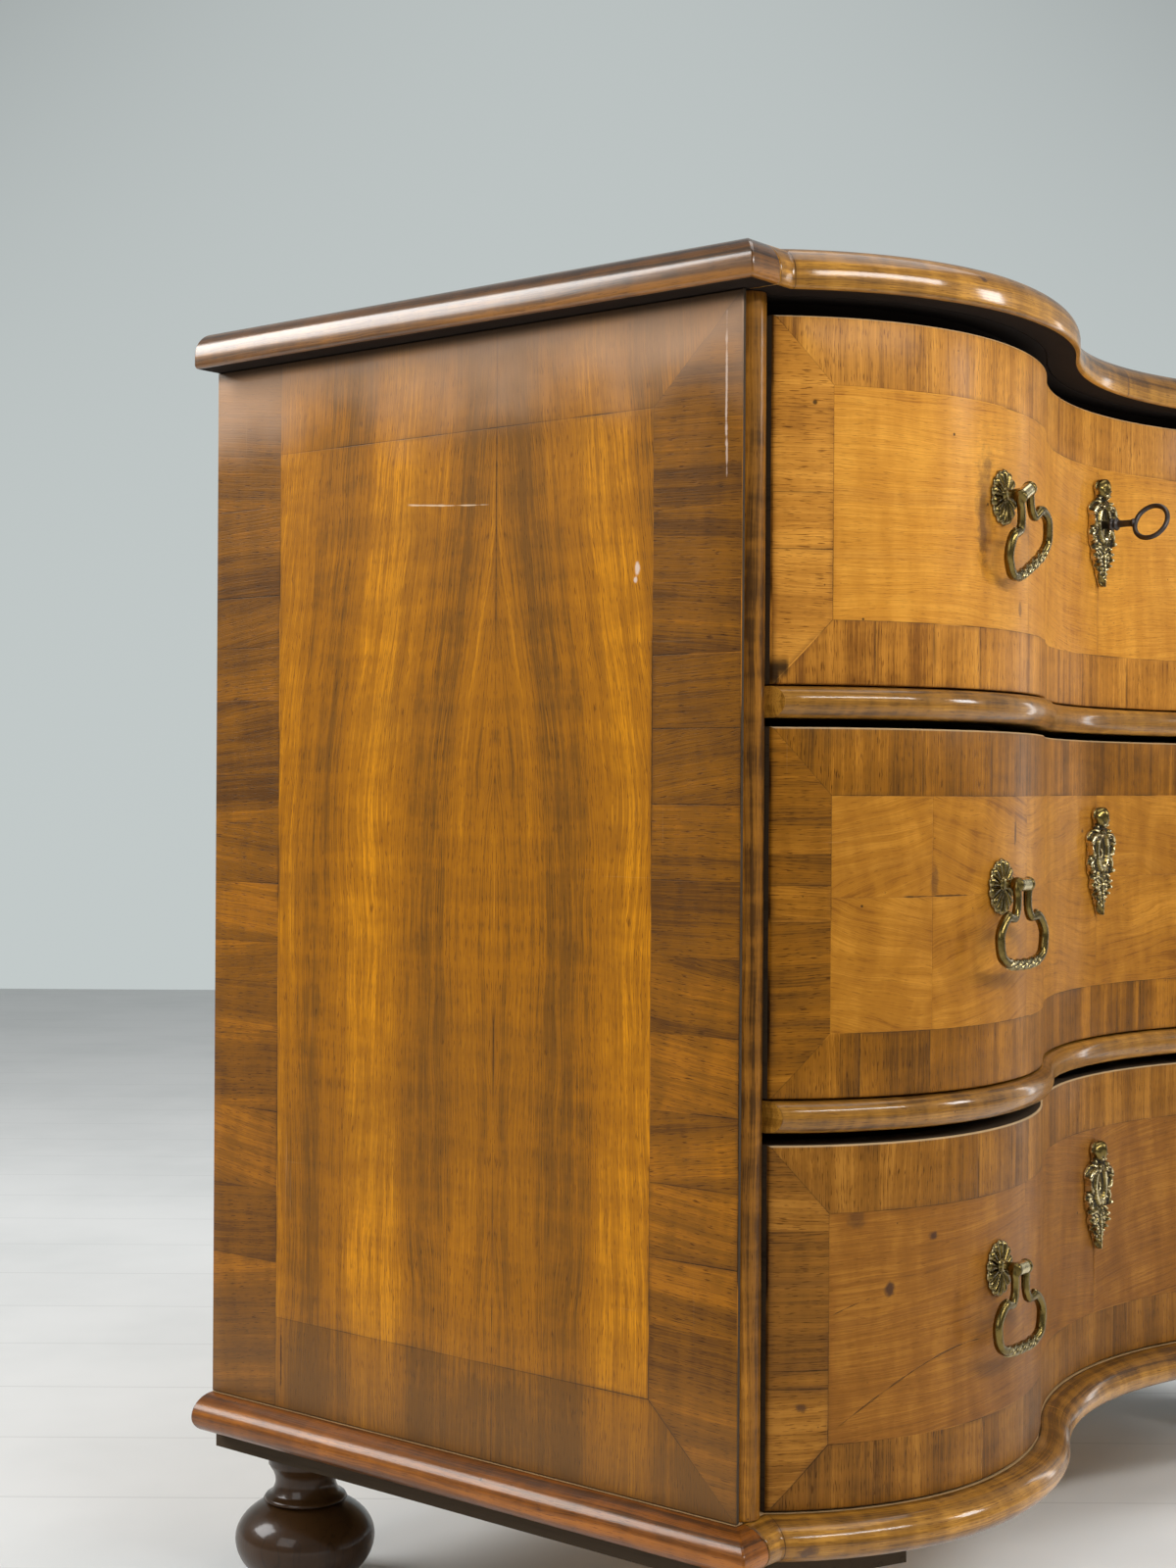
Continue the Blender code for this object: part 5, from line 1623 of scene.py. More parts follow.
def fill_turned(net: Net, given: Given, shape: Signal) -> Placed:
    """Inside of the lathe: a circle swept up the line, as wide as each point reaches."""
    curve = net.add("GeometryNodeMeshToCurve", {"Mesh": shape})[0]
    circle = net.add("GeometryNodeCurvePrimitiveCircle", {"Resolution": given["Steps"]})["Curve"]
    reach = net.add("GeometryNodeInputNamedAttribute", {"Name": "Reach"}, data_type="FLOAT")[0]
    inputs = {"Curve": curve, "Profile Curve": circle, "Scale": reach, "Fill Caps": True}
    return net.add("GeometryNodeCurveToMesh", inputs)


def fill_ring(net: Net, given: Given, shape: Signal) -> Placed:
    """Inside of the ring: the shape set Count times round the Y axis."""
    points = net.add("GeometryNodePoints", {"Count": given["Count"]})[0]
    angle = net.add("GeometryNodeInputIndex")[0] * math.tau / given["Count"]
    turn = net.add("FunctionNodeAxisAngleToRotation", {"Axis": (0.0, 1.0, 0.0), "Angle": angle})[0]
    return net.add("GeometryNodeInstanceOnPoints", {"Points": points, "Instance": shape, "Rotation": turn})


def fill_wound(net: Net, given: Given, shape: Signal) -> Placed:
    """Inside of the carved grip: leaves set in rings along a line, each ring turned against the last."""

    def keep(points: Signal, name: str, value: Signal, kind: str) -> tuple[Signal, Signal]:
        inputs = {"Geometry": points, "Name": name, "Value": value}
        kept = net.add("GeometryNodeStoreNamedAttribute", inputs, data_type=kind)[0]
        return kept, net.add("GeometryNodeInputNamedAttribute", {"Name": name}, data_type=kind)[0]

    def turned_by(start: Signal, axis: tuple[float, ...], angle: Signal) -> Signal:
        spin = net.add("FunctionNodeAxisAngleToRotation", {"Axis": axis, "Angle": angle})[0]
        inputs = {"Rotation": start, "Rotate By": spin}
        return net.add("FunctionNodeRotateRotation", inputs, rotation_space="LOCAL")[0]

    curve = net.add("GeometryNodeMeshToCurve", {"Mesh": shape})[0]
    points = net.add("GeometryNodeCurveToPoints", {"Curve": curve, "Count": given["Rows"]})
    kept, facing = keep(points["Points"], "Facing", points["Rotation"], "QUATERNION")
    kept, row = keep(kept, "Row", net.add("GeometryNodeInputIndex")[0], "FLOAT")
    inputs = {"Geometry": kept, "Amount": given["Around"]}
    many = net.add("GeometryNodeDuplicateElements", inputs, domain="POINT")
    step = many["Duplicate Index"] + row * 0.5
    turn = turned_by(facing, (0.0, 0.0, 1.0), step * math.tau / given["Around"])
    reach = net.add("ShaderNodeCombineXYZ", {"X": given["Reach"]})[0]
    out = net.add("FunctionNodeRotateVector", {"Vector": reach, "Rotation": turn})[0]
    moved = net.add("GeometryNodeSetPosition", {"Geometry": many["Geometry"], "Offset": out})[0]
    leaf = net.add("GeometryNodeObjectInfo", {"Object": given["Leaf"]})["Geometry"]
    inputs = {"Points": moved, "Instance": leaf, "Rotation": turned_by(turn, (1.0, 0.0, 0.0), given["Lean"])}
    return net.add("GeometryNodeInstanceOnPoints", inputs)


def turned(name: str, profile: Sequence[Point], steps: int, finish: Finish, to_front: bool = False) -> Mesh:
    """A closed turned piece about the Z axis, or about Y with its foot towards the chest.

    Args:
        name: the mesh's name.
        profile: radius and height of each point, upwards.
        steps: how many sides its circle has.
        finish: its finish.
        to_front: whether it is turned over, to rise towards -Y.

    Returns:
        The turned mesh.
    """
    start = line_mesh(name, [(0.0, 0.0, z) for _, z in profile], [max(r, 0.0003) for r, _ in profile])
    mesh = ShapeTree.run("Turned piece", start, {"Steps": steps, "Material": finish.material()}, fill_turned)
    mesh.name = name
    if to_front:
        mesh.transform(Matrix.Rotation(math.pi / 2, 4, "X"))
    return mesh


def flowing(points: Sequence[Sequence[float]], steps: int) -> list[tuple[float, ...]]:
    """Points on a smooth curve through the given ones, whatever they hold.

    Args:
        points: the given points.
        steps: how many new points each stretch gets.

    Returns:
        The smooth curve's points, ends included.
    """
    found = []
    last = len(points) - 1
    for i in range(last):
        near = [points[min(max(k, 0), last)] for k in range(i - 1, i + 3)]
        for t in (k / steps for k in range(steps)):
            shares = (-t + 2 * t**2 - t**3, 2 - 5 * t**2 + 3 * t**3, t + 4 * t**2 - 3 * t**3, t**3 - t**2)
            found.append(tuple(sum(s * v for s, v in zip(shares, values)) / 2 for values in zip(*near)))
    return [*found, tuple(points[-1])]


def tube_mesh(name: str, path: Sequence[Vector], radii: Sequence[Point], around: int, power: float) -> Mesh:
    """A closed wire of changing section along a path in the XZ plane.

    Args:
        name: the mesh's name.
        path: the centre line.
        radii: at each point the half width in the path's plane and the half thickness across it.
        around: how many sides the section has.
        power: 2 gives an ellipse, and more a squarer section.

    Returns:
        The wire's mesh.
    """
    work = bmesh.new()
    side = Vector((0.0, 1.0, 0.0))
    rings = []
    for i, (centre, (wide, thick)) in enumerate(zip(path, radii)):
        along = path[min(i + 1, len(path) - 1)] - path[max(i - 1, 0)]
        across = along.cross(side).normalized()
        rings.append([])
        for x, y in arc((0.0, 0.0), (1.0, 1.0), 180 / around, 360 + 180 / around, around)[:-1]:
            fit = (abs(x) ** power + abs(y) ** power) ** (-1 / power)
            rings[-1].append(work.verts.new(centre + across * (wide * x * fit) + side * (thick * y * fit)))
    bridge(work, rings)
    return close_mesh(name, work, 50.0)


def joined(name: str, meshes: Sequence[Mesh]) -> Mesh:
    """Several meshes put in one, each part kept closed."""
    work = bmesh.new()
    for mesh in meshes:
        work.from_mesh(mesh)
        bpy.data.meshes.remove(mesh)
    bmesh.ops.remove_doubles(work, verts=work.verts, dist=1e-8)
    return close_mesh(name, work, 42.0)


def mark_relief(mesh: Mesh, scale: float = 1.0, rounds: int = 2) -> None:
    """Writes how high or hollow each point of a mesh lies against its neighbours.

    Args:
        mesh: the mesh, which gets the attribute Relief.
        scale: how strongly a bend counts.
        rounds: how often the values are evened out between neighbours.
    """
    work = bmesh.new()
    work.from_mesh(mesh)
    near = [[edge.other_vert(vert) for edge in vert.link_edges] for vert in work.verts]
    values = []
    for vert, others in zip(work.verts, near):
        ways = [other.co - vert.co for other in others]
        bend = -sum(way.dot(vert.normal) / max(way.length, 1e-6) for way in ways)
        values.append(bend / max(len(ways), 1))
    for _ in range(rounds):
        sums = [value + sum(values[o.index] for o in others) for value, others in zip(values, near)]
        values = [total / (1 + len(others)) for total, others in zip(sums, near)]
    work.free()
    levels = [min(max(0.45 + scale * value, 0.0), 1.0) for value in values]
    mesh.attributes.new("Relief", "FLOAT", "POINT").data.foreach_set("value", levels)


# Metalwork


@dataclass
class PullPlace:
    """Where one pull sits on its drawer front."""

    number: int
    side: int
    from_side: float = 0.182
    loose_turn: float = math.radians(-27.0)
    loose_rest: float = math.radians(-8.0)

    @property
    def label(self) -> str:
        """The end of its node names, with its drawer's number and its side."""
        return f"{self.number}_{'left' if self.side < 0 else 'right'}"

    @property
    def is_loose(self) -> bool:
        """Whether this pull's post has turned in its plate."""
        return self.number == 1 and self.side < 0

    def seat(self) -> Matrix:
        """Turns the pull's own frame, with -Y outwards, onto the drawer front."""
        low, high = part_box(f"pull_plate_{self.label}")
        x = -SIZES.half + self.from_side
        lean = math.asin((x - CURVE.crown_x) / CURVE.inner_radius)
        out = Vector((math.sin(lean), -math.cos(lean), 0.0))
        face = SIZES.front - CURVE.bulge + CURVE.inner_radius * (1 - math.cos(lean))
        spot = Vector((x, face, (low.z + high.z) / 2)) + out * GAP
        if self.side > 0:
            spot.x, lean = -spot.x, -lean
        return Matrix.Translation(spot) @ Matrix.Rotation(lean, 4, "Z")

    def post(self) -> Matrix:
        """Turns the post in the plate."""
        return Matrix.Rotation(self.loose_turn if self.is_loose else 0.0, 4, "Y")


@dataclass
class PullPlate:
    """A cast fan plate of rounded petals with the post and barrel that carry the bail."""

    place: PullPlace
    half_wide: float = 0.0157
    half_high: float = 0.0176
    petals: int = 14
    petal_rise: float = 0.0026
    pivot_out: float = 0.015
    pivot_rise: float = 0.002
    barrel_half: float = 0.0052
    barrel_radius: float = 0.0042
    barrel_round: float = 0.0012
    bore: float = 0.0018

    def build(self) -> None:
        """Makes the plate and sets it on its drawer."""
        fan = self.fan()
        post = Matrix.Translation((0.0, 0.0, self.pivot_rise)) @ self.place.post()
        reach, rise = Vector((0.0031, 0.0015, 0.0031)), Vector((0.0, -0.0036, 0.0))
        shoulder = block_mesh("nut", rise - reach, rise + reach, 0.0006, 2)
        rest = [self.post(), self.barrel(), shoulder]
        for mesh in rest:
            mesh.transform(post)
        mesh = joined("pull_plate", [fan, self.ground(), *rest])
        mark_relief(mesh, 1.1)
        mesh.transform(self.place.seat())
        name = f"pull_plate_{self.place.label}"
        piece(f"{name}_fan", mesh, f"drawer_{self.place.number}", (Dressing.brass,), name)

    def petal(self) -> Mesh:
        """One rounded petal from the plate's middle to its rim."""
        work = bmesh.new()
        rows, columns, back_y = 16, 9, -0.0003
        spread = math.pi / self.petals
        grid = []
        for share in (i / rows for i in range(rows + 1)):
            reach = 0.16 + 0.84 * share
            bulb = math.sqrt(max(1 - ((share - 0.8) / 0.2) ** 2, 0.0)) if share > 0.8 else 1.0
            crown = (0.35 + 0.65 * math.sin(math.pi * min(share * 0.62 + 0.12, 1.0))) * bulb
            grid.append([])
            for across in (-1 + 2 * k / columns for k in range(columns + 1)):
                angle = across * spread * (0.8 + 0.26 * share) * max(bulb, 0.25)
                height = 0.0006 + self.petal_rise * crown * math.sqrt(max(1 - across**2, 0.0))
                spot = (reach * math.sin(angle), -height, reach * math.cos(angle))
                grid[-1].append(work.verts.new(spot))
        for near, far in zip(grid, grid[1:]):
            for k in range(columns):
                work.faces.new((near[k], near[k + 1], far[k + 1], far[k]))
        first, last = [line[0] for line in grid], [line[-1] for line in grid]
        for line in (grid[0][::-1], grid[-1], first, last[::-1]):
            back = [work.verts.new((v.co.x, back_y, v.co.z)) for v in line]
            for k in range(len(line) - 1):
                work.faces.new((line[k], line[k + 1], back[k + 1], back[k]))
        bmesh.ops.remove_doubles(work, verts=work.verts, dist=1e-7)
        bmesh.ops.holes_fill(work, edges=[edge for edge in work.edges if edge.is_boundary])
        return close_mesh("petal", work, 60.0)

    def oval(self, mesh: Mesh) -> Mesh:
        """Draws a mesh of radius 1 out to the plate's oval."""
        mesh.transform(Matrix.Diagonal((self.half_wide, 1.0, self.half_high, 1.0)))
        return mesh

    def fan(self) -> Mesh:
        """The petals in their ring."""
        sizes = {"Count": self.petals, "Material": Dressing.brass.material()}
        return self.oval(ShapeTree.run("Ring of petals", self.petal(), sizes, fill_ring))

    def ground(self) -> Mesh:
        """The thin disc under the petals and the boss in their middle."""
        rim = [(0.0005, 0.0), (0.9, 0.0), (0.93, 0.0006), (0.91, 0.001), (0.0005, 0.0012)]
        return self.oval(turned("ground", rim, 56, Dressing.brass, True))

    def post(self) -> Mesh:
        """The post from the plate to the barrel."""
        stop = self.pivot_out - self.barrel_radius + 0.001
        profile = [(0.0042, 0.0006), (0.0044, 0.0024), (0.0036, 0.0034), (0.0029, 0.005), (0.0026, 0.0072)]
        return turned("post", [*profile, (0.0029, 0.009), (0.0031, stop)], 20, Dressing.brass, True)

    def barrel(self) -> Mesh:
        """The tube that the bail's pins turn in."""
        profile = [(-self.barrel_half, self.bore)]
        for angle in range(0, 91, 15):
            short = self.barrel_round * (1 - math.sin(math.radians(angle)))
            profile.append((short - self.barrel_half, self.barrel_radius - short))
        work = bmesh.new()
        rings = []
        for x, radius in profile + [(-x, r) for x, r in reversed(profile)]:
            points = arc((-self.pivot_out, 0.0), (radius, radius), 0, 360, 28)[:-1]
            rings.append([work.verts.new((x, y, z)) for y, z in points])
        bridge(work, rings, closed=True)
        return close_mesh("barrel", work, 35.0)


@dataclass
class Bail:
    """A cast bail: two eyes, S-curved arms, an oval bow with nibs, and a grip carved with leaves."""

    place: PullPlace
    wire: float = 0.0026
    grip: float = 0.004
    half_wide: float = 0.0292
    drop: float = 0.0488
    neck: float = 0.0182
    barrel_half: float = 0.0052
    eye_radius: float = 0.0046
    eye_wide: float = 0.0032

    def build(self) -> None:
        """Makes the bail and hangs it on its pull."""
        leaves = self.leaves()
        mesh = joined("bail", [self.wire_mesh(), self.eye(-1), self.eye(1), *self.nibs(), leaves])
        mark_relief(mesh, 0.9)
        rest = self.place.loose_rest if self.place.is_loose else 0.0
        plate = PullPlate(self.place)
        pivot = Matrix.Translation((0.0, -plate.pivot_out, plate.pivot_rise))
        mesh.transform(self.place.seat() @ pivot @ self.place.post() @ Matrix.Rotation(-rest, 4, "X"))
        name = f"bail_{self.place.label}"
        piece(f"{name}_cast", mesh, name, (Dressing.brass,), name)

    def centre_line(self) -> list[tuple[float, ...]]:
        """The bail's line as (x, z, half width, half thickness), from eye to eye."""
        arm, wide, neck, drop = self.barrel_half + 0.002, self.half_wide, self.neck, self.drop
        half = [
            (arm, 0.0014, 0.8, 0.7), (arm + 0.0002, -0.003, 1.0, 0.95),
            (arm - 0.0004, -neck * 0.42, 0.95, 0.95), (arm + 0.0002, -neck * 0.8, 0.95, 0.95),
            (arm + 0.003, -neck - 0.0016, 1.0, 1.0), (arm + 0.0066, -neck - 0.002, 1.05, 1.05),
            (wide * 0.68, -neck - 0.0014, 1.18, 1.12), (wide * 0.86, -neck - 0.0052, 1.1, 1.15),
            (wide * 0.985, -neck - 0.0108, 1.0, 1.15), (wide, -neck - 0.016, 1.0, 1.15),
            (wide * 0.93, -drop + 0.0066, 1.05, 1.15), (wide * 0.76, -drop + 0.0028, 1.15, 1.15),
            (wide * 0.5, -drop + 0.0007, 1.18, 1.15), (wide * 0.24, -drop + 0.0001, 1.22, 1.18),
            (0.0, -drop, 1.25, 1.2)
        ]
        smooth = [(x, z, self.wire * w, self.wire * t) for x, z, w, t in flowing(half, 6)]
        return [(-x, *rest) for x, *rest in smooth] + smooth[-2::-1]

    def wire_mesh(self) -> Mesh:
        """The wire of the arms and the bow, a little squared."""
        line = self.centre_line()
        path = [Vector((x, 0.0, z)) for x, z, _, _ in line]
        return tube_mesh("wire", path, [(w, t) for *_, w, t in line], 16, 2.6)

    def eye(self, side: int) -> Mesh:
        """One of the flat round eyes beside the barrel, with its pin."""
        start, radius = self.barrel_half + 0.0004, self.eye_radius
        stop, pin = start + self.eye_wide, 0.0013
        profile = [(pin, self.barrel_half - 0.0036), (pin, start)]
        profile += arc((radius - 0.0009, start + 0.0009), (0.0009, 0.0009), -90, 0, 4)
        profile += arc((radius - 0.0012, stop - 0.0012), (0.0012, 0.0012), 0, 90, 4)
        profile += [(radius * 0.45, stop + 0.0003), (0.0004, stop + 0.0004)]
        mesh = turned("eye", profile, 28, Dressing.brass)
        mesh.transform(Matrix.Rotation(side * math.pi / 2, 4, "Y"))
        return mesh

    def nibs(self) -> list[Mesh]:
        """The small spurs that stand up where the arms run into the bow."""
        radii = [(0.0026, 0.0025), (0.0025, 0.0025), (0.0021, 0.0023), (0.0015, 0.0019), (0.0006, 0.001)]
        found = []
        for side in (-1, 1):
            foot = Vector((side * self.half_wide * 0.7, 0.0, -self.neck - 0.0024))
            tip = Vector((side * self.half_wide * 0.6, 0.0, -self.neck + 0.0022))
            found.append(tube_mesh("nib", [foot.lerp(tip, k / 4) for k in range(5)], radii, 12, 2.4))
        return found

    def leaves(self) -> Mesh:
        """The carved leaves round the grip."""
        line = [Vector((x, 0.0, z)) for x, z, _, _ in self.centre_line()]
        line = [p for p in line if abs(p.x) < self.half_wide * 0.62 and p.z < -self.drop * 0.9]
        start = line_mesh("grip", line, [self.grip] * len(line))
        leaf = linked("leaf", self.leaf())
        sizes = {"Rows": 9, "Around": 5, "Reach": self.wire * 0.94, "Lean": 0.62, "Leaf": leaf}
        sizes["Material"] = Dressing.brass.material()
        mesh = ShapeTree.run("Carved grip", start, sizes, fill_wound)
        bpy.data.objects.remove(leaf, do_unlink=True)
        return mesh

    def leaf(self) -> Mesh:
        """One leaf with a raised middle, pointing along Z and bulging along X."""
        work = bmesh.new()
        rings = []
        for share in (i / 6 for i in range(7)):
            swell = math.sin(math.pi * (0.08 + 0.84 * share))
            points = arc((0.0, 0.0), (0.00135 * swell**0.7, 0.00135 * swell**0.8), 0, 360, 8)[:-1]
            rings.append([work.verts.new((x, y, (share - 0.5) * 0.0056)) for x, y in points])
        bridge(work, rings)
        return close_mesh("leaf", work, 80.0)


@dataclass
class KeyPlate:
    """A cast key plate: a knob, scrolled shoulders, an oval cartouche and a long leaf tip."""

    number: int
    top: float = 0.0394
    foot: float = -0.0392
    rows: int = 150
    columns: int = 46
    cut: float = 0.0009
    outline: tuple[Point, ...] = (
        (0.0394, 0.002), (0.0386, 0.0048), (0.036, 0.0078), (0.0325, 0.0084), (0.029, 0.0066),
        (0.0266, 0.006), (0.0246, 0.0076), (0.0215, 0.0138), (0.0178, 0.0175), (0.014, 0.0168),
        (0.0118, 0.015), (0.0085, 0.0156), (0.005, 0.015), (0.002, 0.0162), (-0.001, 0.0168),
        (-0.0045, 0.0152), (-0.0075, 0.0158), (-0.0105, 0.0128), (-0.0135, 0.0112), (-0.017, 0.0128),
        (-0.0195, 0.0118), (-0.0215, 0.0088), (-0.0245, 0.009), (-0.027, 0.0062), (-0.0298, 0.006),
        (-0.0335, 0.0034), (-0.037, 0.0022), (-0.0392, 0.0008)
    )
    bead_places: tuple[tuple[float, float, float], ...] = (
        (0.0262, 0.0022, 0.0013), (0.0254, 0.0052, 0.0014), (0.0226, 0.0088, 0.0015),
        (0.0124, 0.0138, 0.0015), (0.0022, 0.0146, 0.0016), (-0.003, 0.0112, 0.0014),
        (-0.0072, 0.0136, 0.0018), (-0.01, 0.0085, 0.0017), (-0.015, 0.0095, 0.0017),
        (-0.0186, 0.0102, 0.0016), (-0.0178, 0.005, 0.0016), (-0.0232, 0.0072, 0.0015),
        (-0.0258, 0.003, 0.0014), (-0.0292, 0.0046, 0.0013), (-0.032, 0.0014, 0.0012)
    )
    scroll_places: tuple[tuple[float, ...], ...] = (
        (0.0078, 0.0112, 0.0082, -80, 118, 0.0019, 0.0032),
        (0.0098, 0.0196, 0.003, 100, 330, 0.0012, 0.0022), (0.0096, -0.004, 0.0056, -60, 75, 0.0014, 0.002),
        (0.0066, -0.016, 0.0052, -70, 80, 0.0012, 0.0017), (0.003, -0.0245, 0.0044, -70, 70, 0.001, 0.0013)
    )

    def build(self) -> None:
        """Makes the plate and sets it on its drawer."""
        name = f"escutcheon_{self.number}"
        low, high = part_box(name)
        mesh = self.relief_mesh()
        mesh.transform(Matrix.Diagonal((1.12, 1.3, 1.0, 1.0)))
        middle = (low.z + high.z - self.top - self.foot) / 2
        mesh.transform(Matrix.Translation((0.0, high.y, middle)))
        made = piece(f"{name}_cast", mesh, f"drawer_{self.number}", (Dressing.brass,), name)
        cut_with(made, [keyhole_mesh(high.y - 0.02, key_height(self.number), 0.04)])
        mark_relief(made.data, 2.6, 1)

    def half_at(self, height: float) -> float:
        """Half the plate's width at a height."""
        points = self.outline
        for (za, xa), (zb, xb) in zip(points, points[1:]):
            if zb <= height <= za:
                return xa + (xb - xa) * (za - height) / (za - zb)
        return points[0][1] if height > points[0][0] else points[-1][1]

    def relief_mesh(self) -> Mesh:
        """The plate as a raised sheet with a flat back."""
        work = bmesh.new()
        bumps = self.beads()
        rings = []
        turns = [math.radians(-90 + 180 * k / self.columns) for k in range(self.columns + 1)]
        for z in (self.top + (self.foot - self.top) * i / self.rows for i in range(self.rows + 1)):
            half = self.half_at(z)
            xs = [half * math.sin(turn) for turn in turns]
            ring = [work.verts.new((x, -self.height(x, z, half, bumps), z)) for x in xs]
            rings.append(ring + [work.verts.new((x, 0.0, z)) for x in (xs[-1], xs[0])])
        bridge(work, rings)
        return close_mesh("key_plate", work, 75.0)

    def beads(self) -> Marks:
        """The beads of the ornament, as (x, z, radius, rise)."""
        rng = Random(41)
        found = []
        for side in (-1, 1):
            for z, x, size in self.bead_places:
                found.append((side * x + rng.uniform(-0.0005, 0.0005), z, size, size * 0.95))
        for _ in range(60):
            z = rng.uniform(-0.033, 0.031)
            x = rng.uniform(-0.95, 0.95) * self.half_at(z)
            if (x / 0.0066) ** 2 + ((z - 0.0075) / 0.0118) ** 2 > 1.5:
                size = rng.uniform(0.0005, 0.001)
                found.append((x, z, size, size * rng.choice((-0.9, 0.9))))
        return tuple(found)

    def height(self, x: float, z: float, half: float, bumps: Marks) -> float:
        """How far the plate's face stands out at a point."""
        across = min(abs(x) / half, 1.0)
        high = self.cut + 0.0016 * math.sqrt(1 - across**2)
        high += self.knob(x, z) + self.scrolls(x, z) + self.cartouche(x, z) + self.leaf(x, z, across)
        for bx, bz, size, rise in bumps:
            gap = ((x - bx) ** 2 + (z - bz) ** 2) / size**2
            if gap < 1.0:
                high += rise * math.sqrt(1 - gap)
        return max(high, 0.0005)

    def knob(self, x: float, z: float) -> float:
        """The ribbed knob at the top."""
        radius = 0.0078
        gap = (x / radius) ** 2 + ((z - 0.0322) / radius) ** 2
        ribs = 0.00035 * math.cos(7 * math.atan2(x, z - 0.0245))
        return 0.004 * math.sqrt(1 - gap) + ribs if gap < 1.0 else 0.0

    def scrolls(self, x: float, z: float) -> float:
        """The C-scrolls of the shoulders and the smaller ones under the cartouche."""
        rise = 0.0
        for centre_x, centre_z, reach, start, stop, size, lift in self.scroll_places:
            dx, dz = abs(x) - centre_x, z - centre_z
            angle = math.degrees(math.atan2(dz, dx)) % 360
            if start < 0 and angle > 180:
                angle -= 360
            off = abs(math.hypot(dx, dz) - reach) / size
            if start <= angle <= stop and off < 1.0:
                taper = max(min(1.0, (angle - start) / 30, (stop - angle) / 30), 0.0)
                rise = max(rise, lift * math.sqrt(1 - off**2) * math.sqrt(taper))
        return rise

    def cartouche(self, x: float, z: float) -> float:
        """The oval rim round the keyhole, and the hollow in it."""
        gap = math.hypot(x / 0.0064, (z - 0.0075) / 0.0115)
        if gap > 1.45:
            flute = math.cos(15 * math.atan2(x, z - 0.0075))
            return 0.00045 * flute if gap < 2.1 and z < 0.004 else 0.0
        rim = max(1 - ((gap - 1.12) / 0.26) ** 2, 0.0)
        return 0.0021 * math.sqrt(rim) - 0.001 * max(1 - (gap / 0.95) ** 2, 0.0)

    def leaf(self, x: float, z: float, across: float) -> float:
        """The leaf tip, with its vein and side lobes."""
        if z > -0.008:
            return 0.0
        fade = min((-0.008 - z) / 0.006, 1.0)
        vein = 0.0011 * max(1 - abs(x) / 0.0012, 0.0)
        lobes = 0.0007 * math.sin((z - 0.9 * abs(x)) * math.tau / 0.0052) * min(across * 2, 1.0)
        return fade * (vein + lobes + 0.0008 * (1 - across))


@dataclass
class Key:
    """The old key in the top drawer's lock: a turned shank with a bit, and a round wire bow."""

    shaft: float = 0.0031
    collar: float = 0.0046
    bow_out: float = 0.0416
    bow_long: float = 0.0122
    bow_wide: float = 0.0137
    bow_wire: float = 0.0018
    turn: float = math.radians(28.0)

    def build(self) -> None:
        """Makes the key and sets it in its lock."""
        start = -SIZES.half + CURVE.corner
        face = CURVE.at(sum(CURVE.lengths(start)), 0.0, start)[1]
        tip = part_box("key")[1].y - face
        low, high = Vector((-0.0014, tip - 0.0075, -0.0125)), Vector((0.0014, tip - 0.0005, 0.0))
        mesh = joined("key", [self.shank(face, tip), self.bow(), block_mesh("bit", low, high, 0.0003)])
        mark_relief(mesh, 0.8)
        place = Vector((0.0, face, key_height(1)))
        mesh.transform(Matrix.Translation(place) @ Matrix.Rotation(self.turn, 4, "Y"))
        piece("key_forged", mesh, "key", (Dressing.iron,), "key")

    def shank(self, face: float, tip: float) -> Mesh:
        """The turned shank with its baluster collar.

        Args:
            face: Y of the drawer's face.
            tip: how far the shank reaches behind the face.

        Returns:
            A closed mesh.
        """
        ring = self.bow_out - self.bow_long
        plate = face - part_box("escutcheon_1")[0].y + 0.0012
        shaft, collar = self.shaft, self.collar
        profile = [
            (shaft * 1.05, plate + 0.002), (collar * 0.92, plate + 0.0034), (collar, plate + 0.0048),
            (collar * 0.86, plate + 0.0062), (shaft * 0.98, plate + 0.007), (collar * 0.98, plate + 0.008),
            (collar * 1.02, plate + 0.0088), (collar * 0.8, plate + 0.01), (shaft * 0.86, plate + 0.0112),
            (shaft * 0.8, ring - 0.004), (shaft * 0.95, ring - 0.0026), (shaft * 1.05, ring - 0.0014),
            (shaft * 0.85, ring - 0.0002), (0.0008, ring + 0.0009)
        ]
        ordered = [(shaft * 0.8, -tip)]
        for radius, along in [(shaft, 0.0006 - tip), (shaft, plate), *flowing(profile, 3)]:
            if along > ordered[-1][1] + 1e-5:
                ordered.append((radius, along))
        return turned("shank", ordered, 24, Dressing.iron, True)

    def bow(self) -> Mesh:
        """The oval wire bow."""
        work = bmesh.new()
        rings = []
        for y, z in arc((0.0, 0.0), (1.0, 1.0), 0, 360, 56)[:-1]:
            centre = Vector((0.0, self.bow_long * y - self.bow_out, self.bow_wide * z))
            out = Vector((0.0, y / self.bow_long, z / self.bow_wide)).normalized()
            turns = arc((0.0, 0.0), (self.bow_wire, self.bow_wire), 0, 360, 14)[:-1]
            rings.append([work.verts.new(centre + out * a + Vector((b, 0.0, 0.0))) for a, b in turns])
        bridge(work, rings, closed=True)
        return close_mesh("bow", work, 60.0)


# Feet and studio


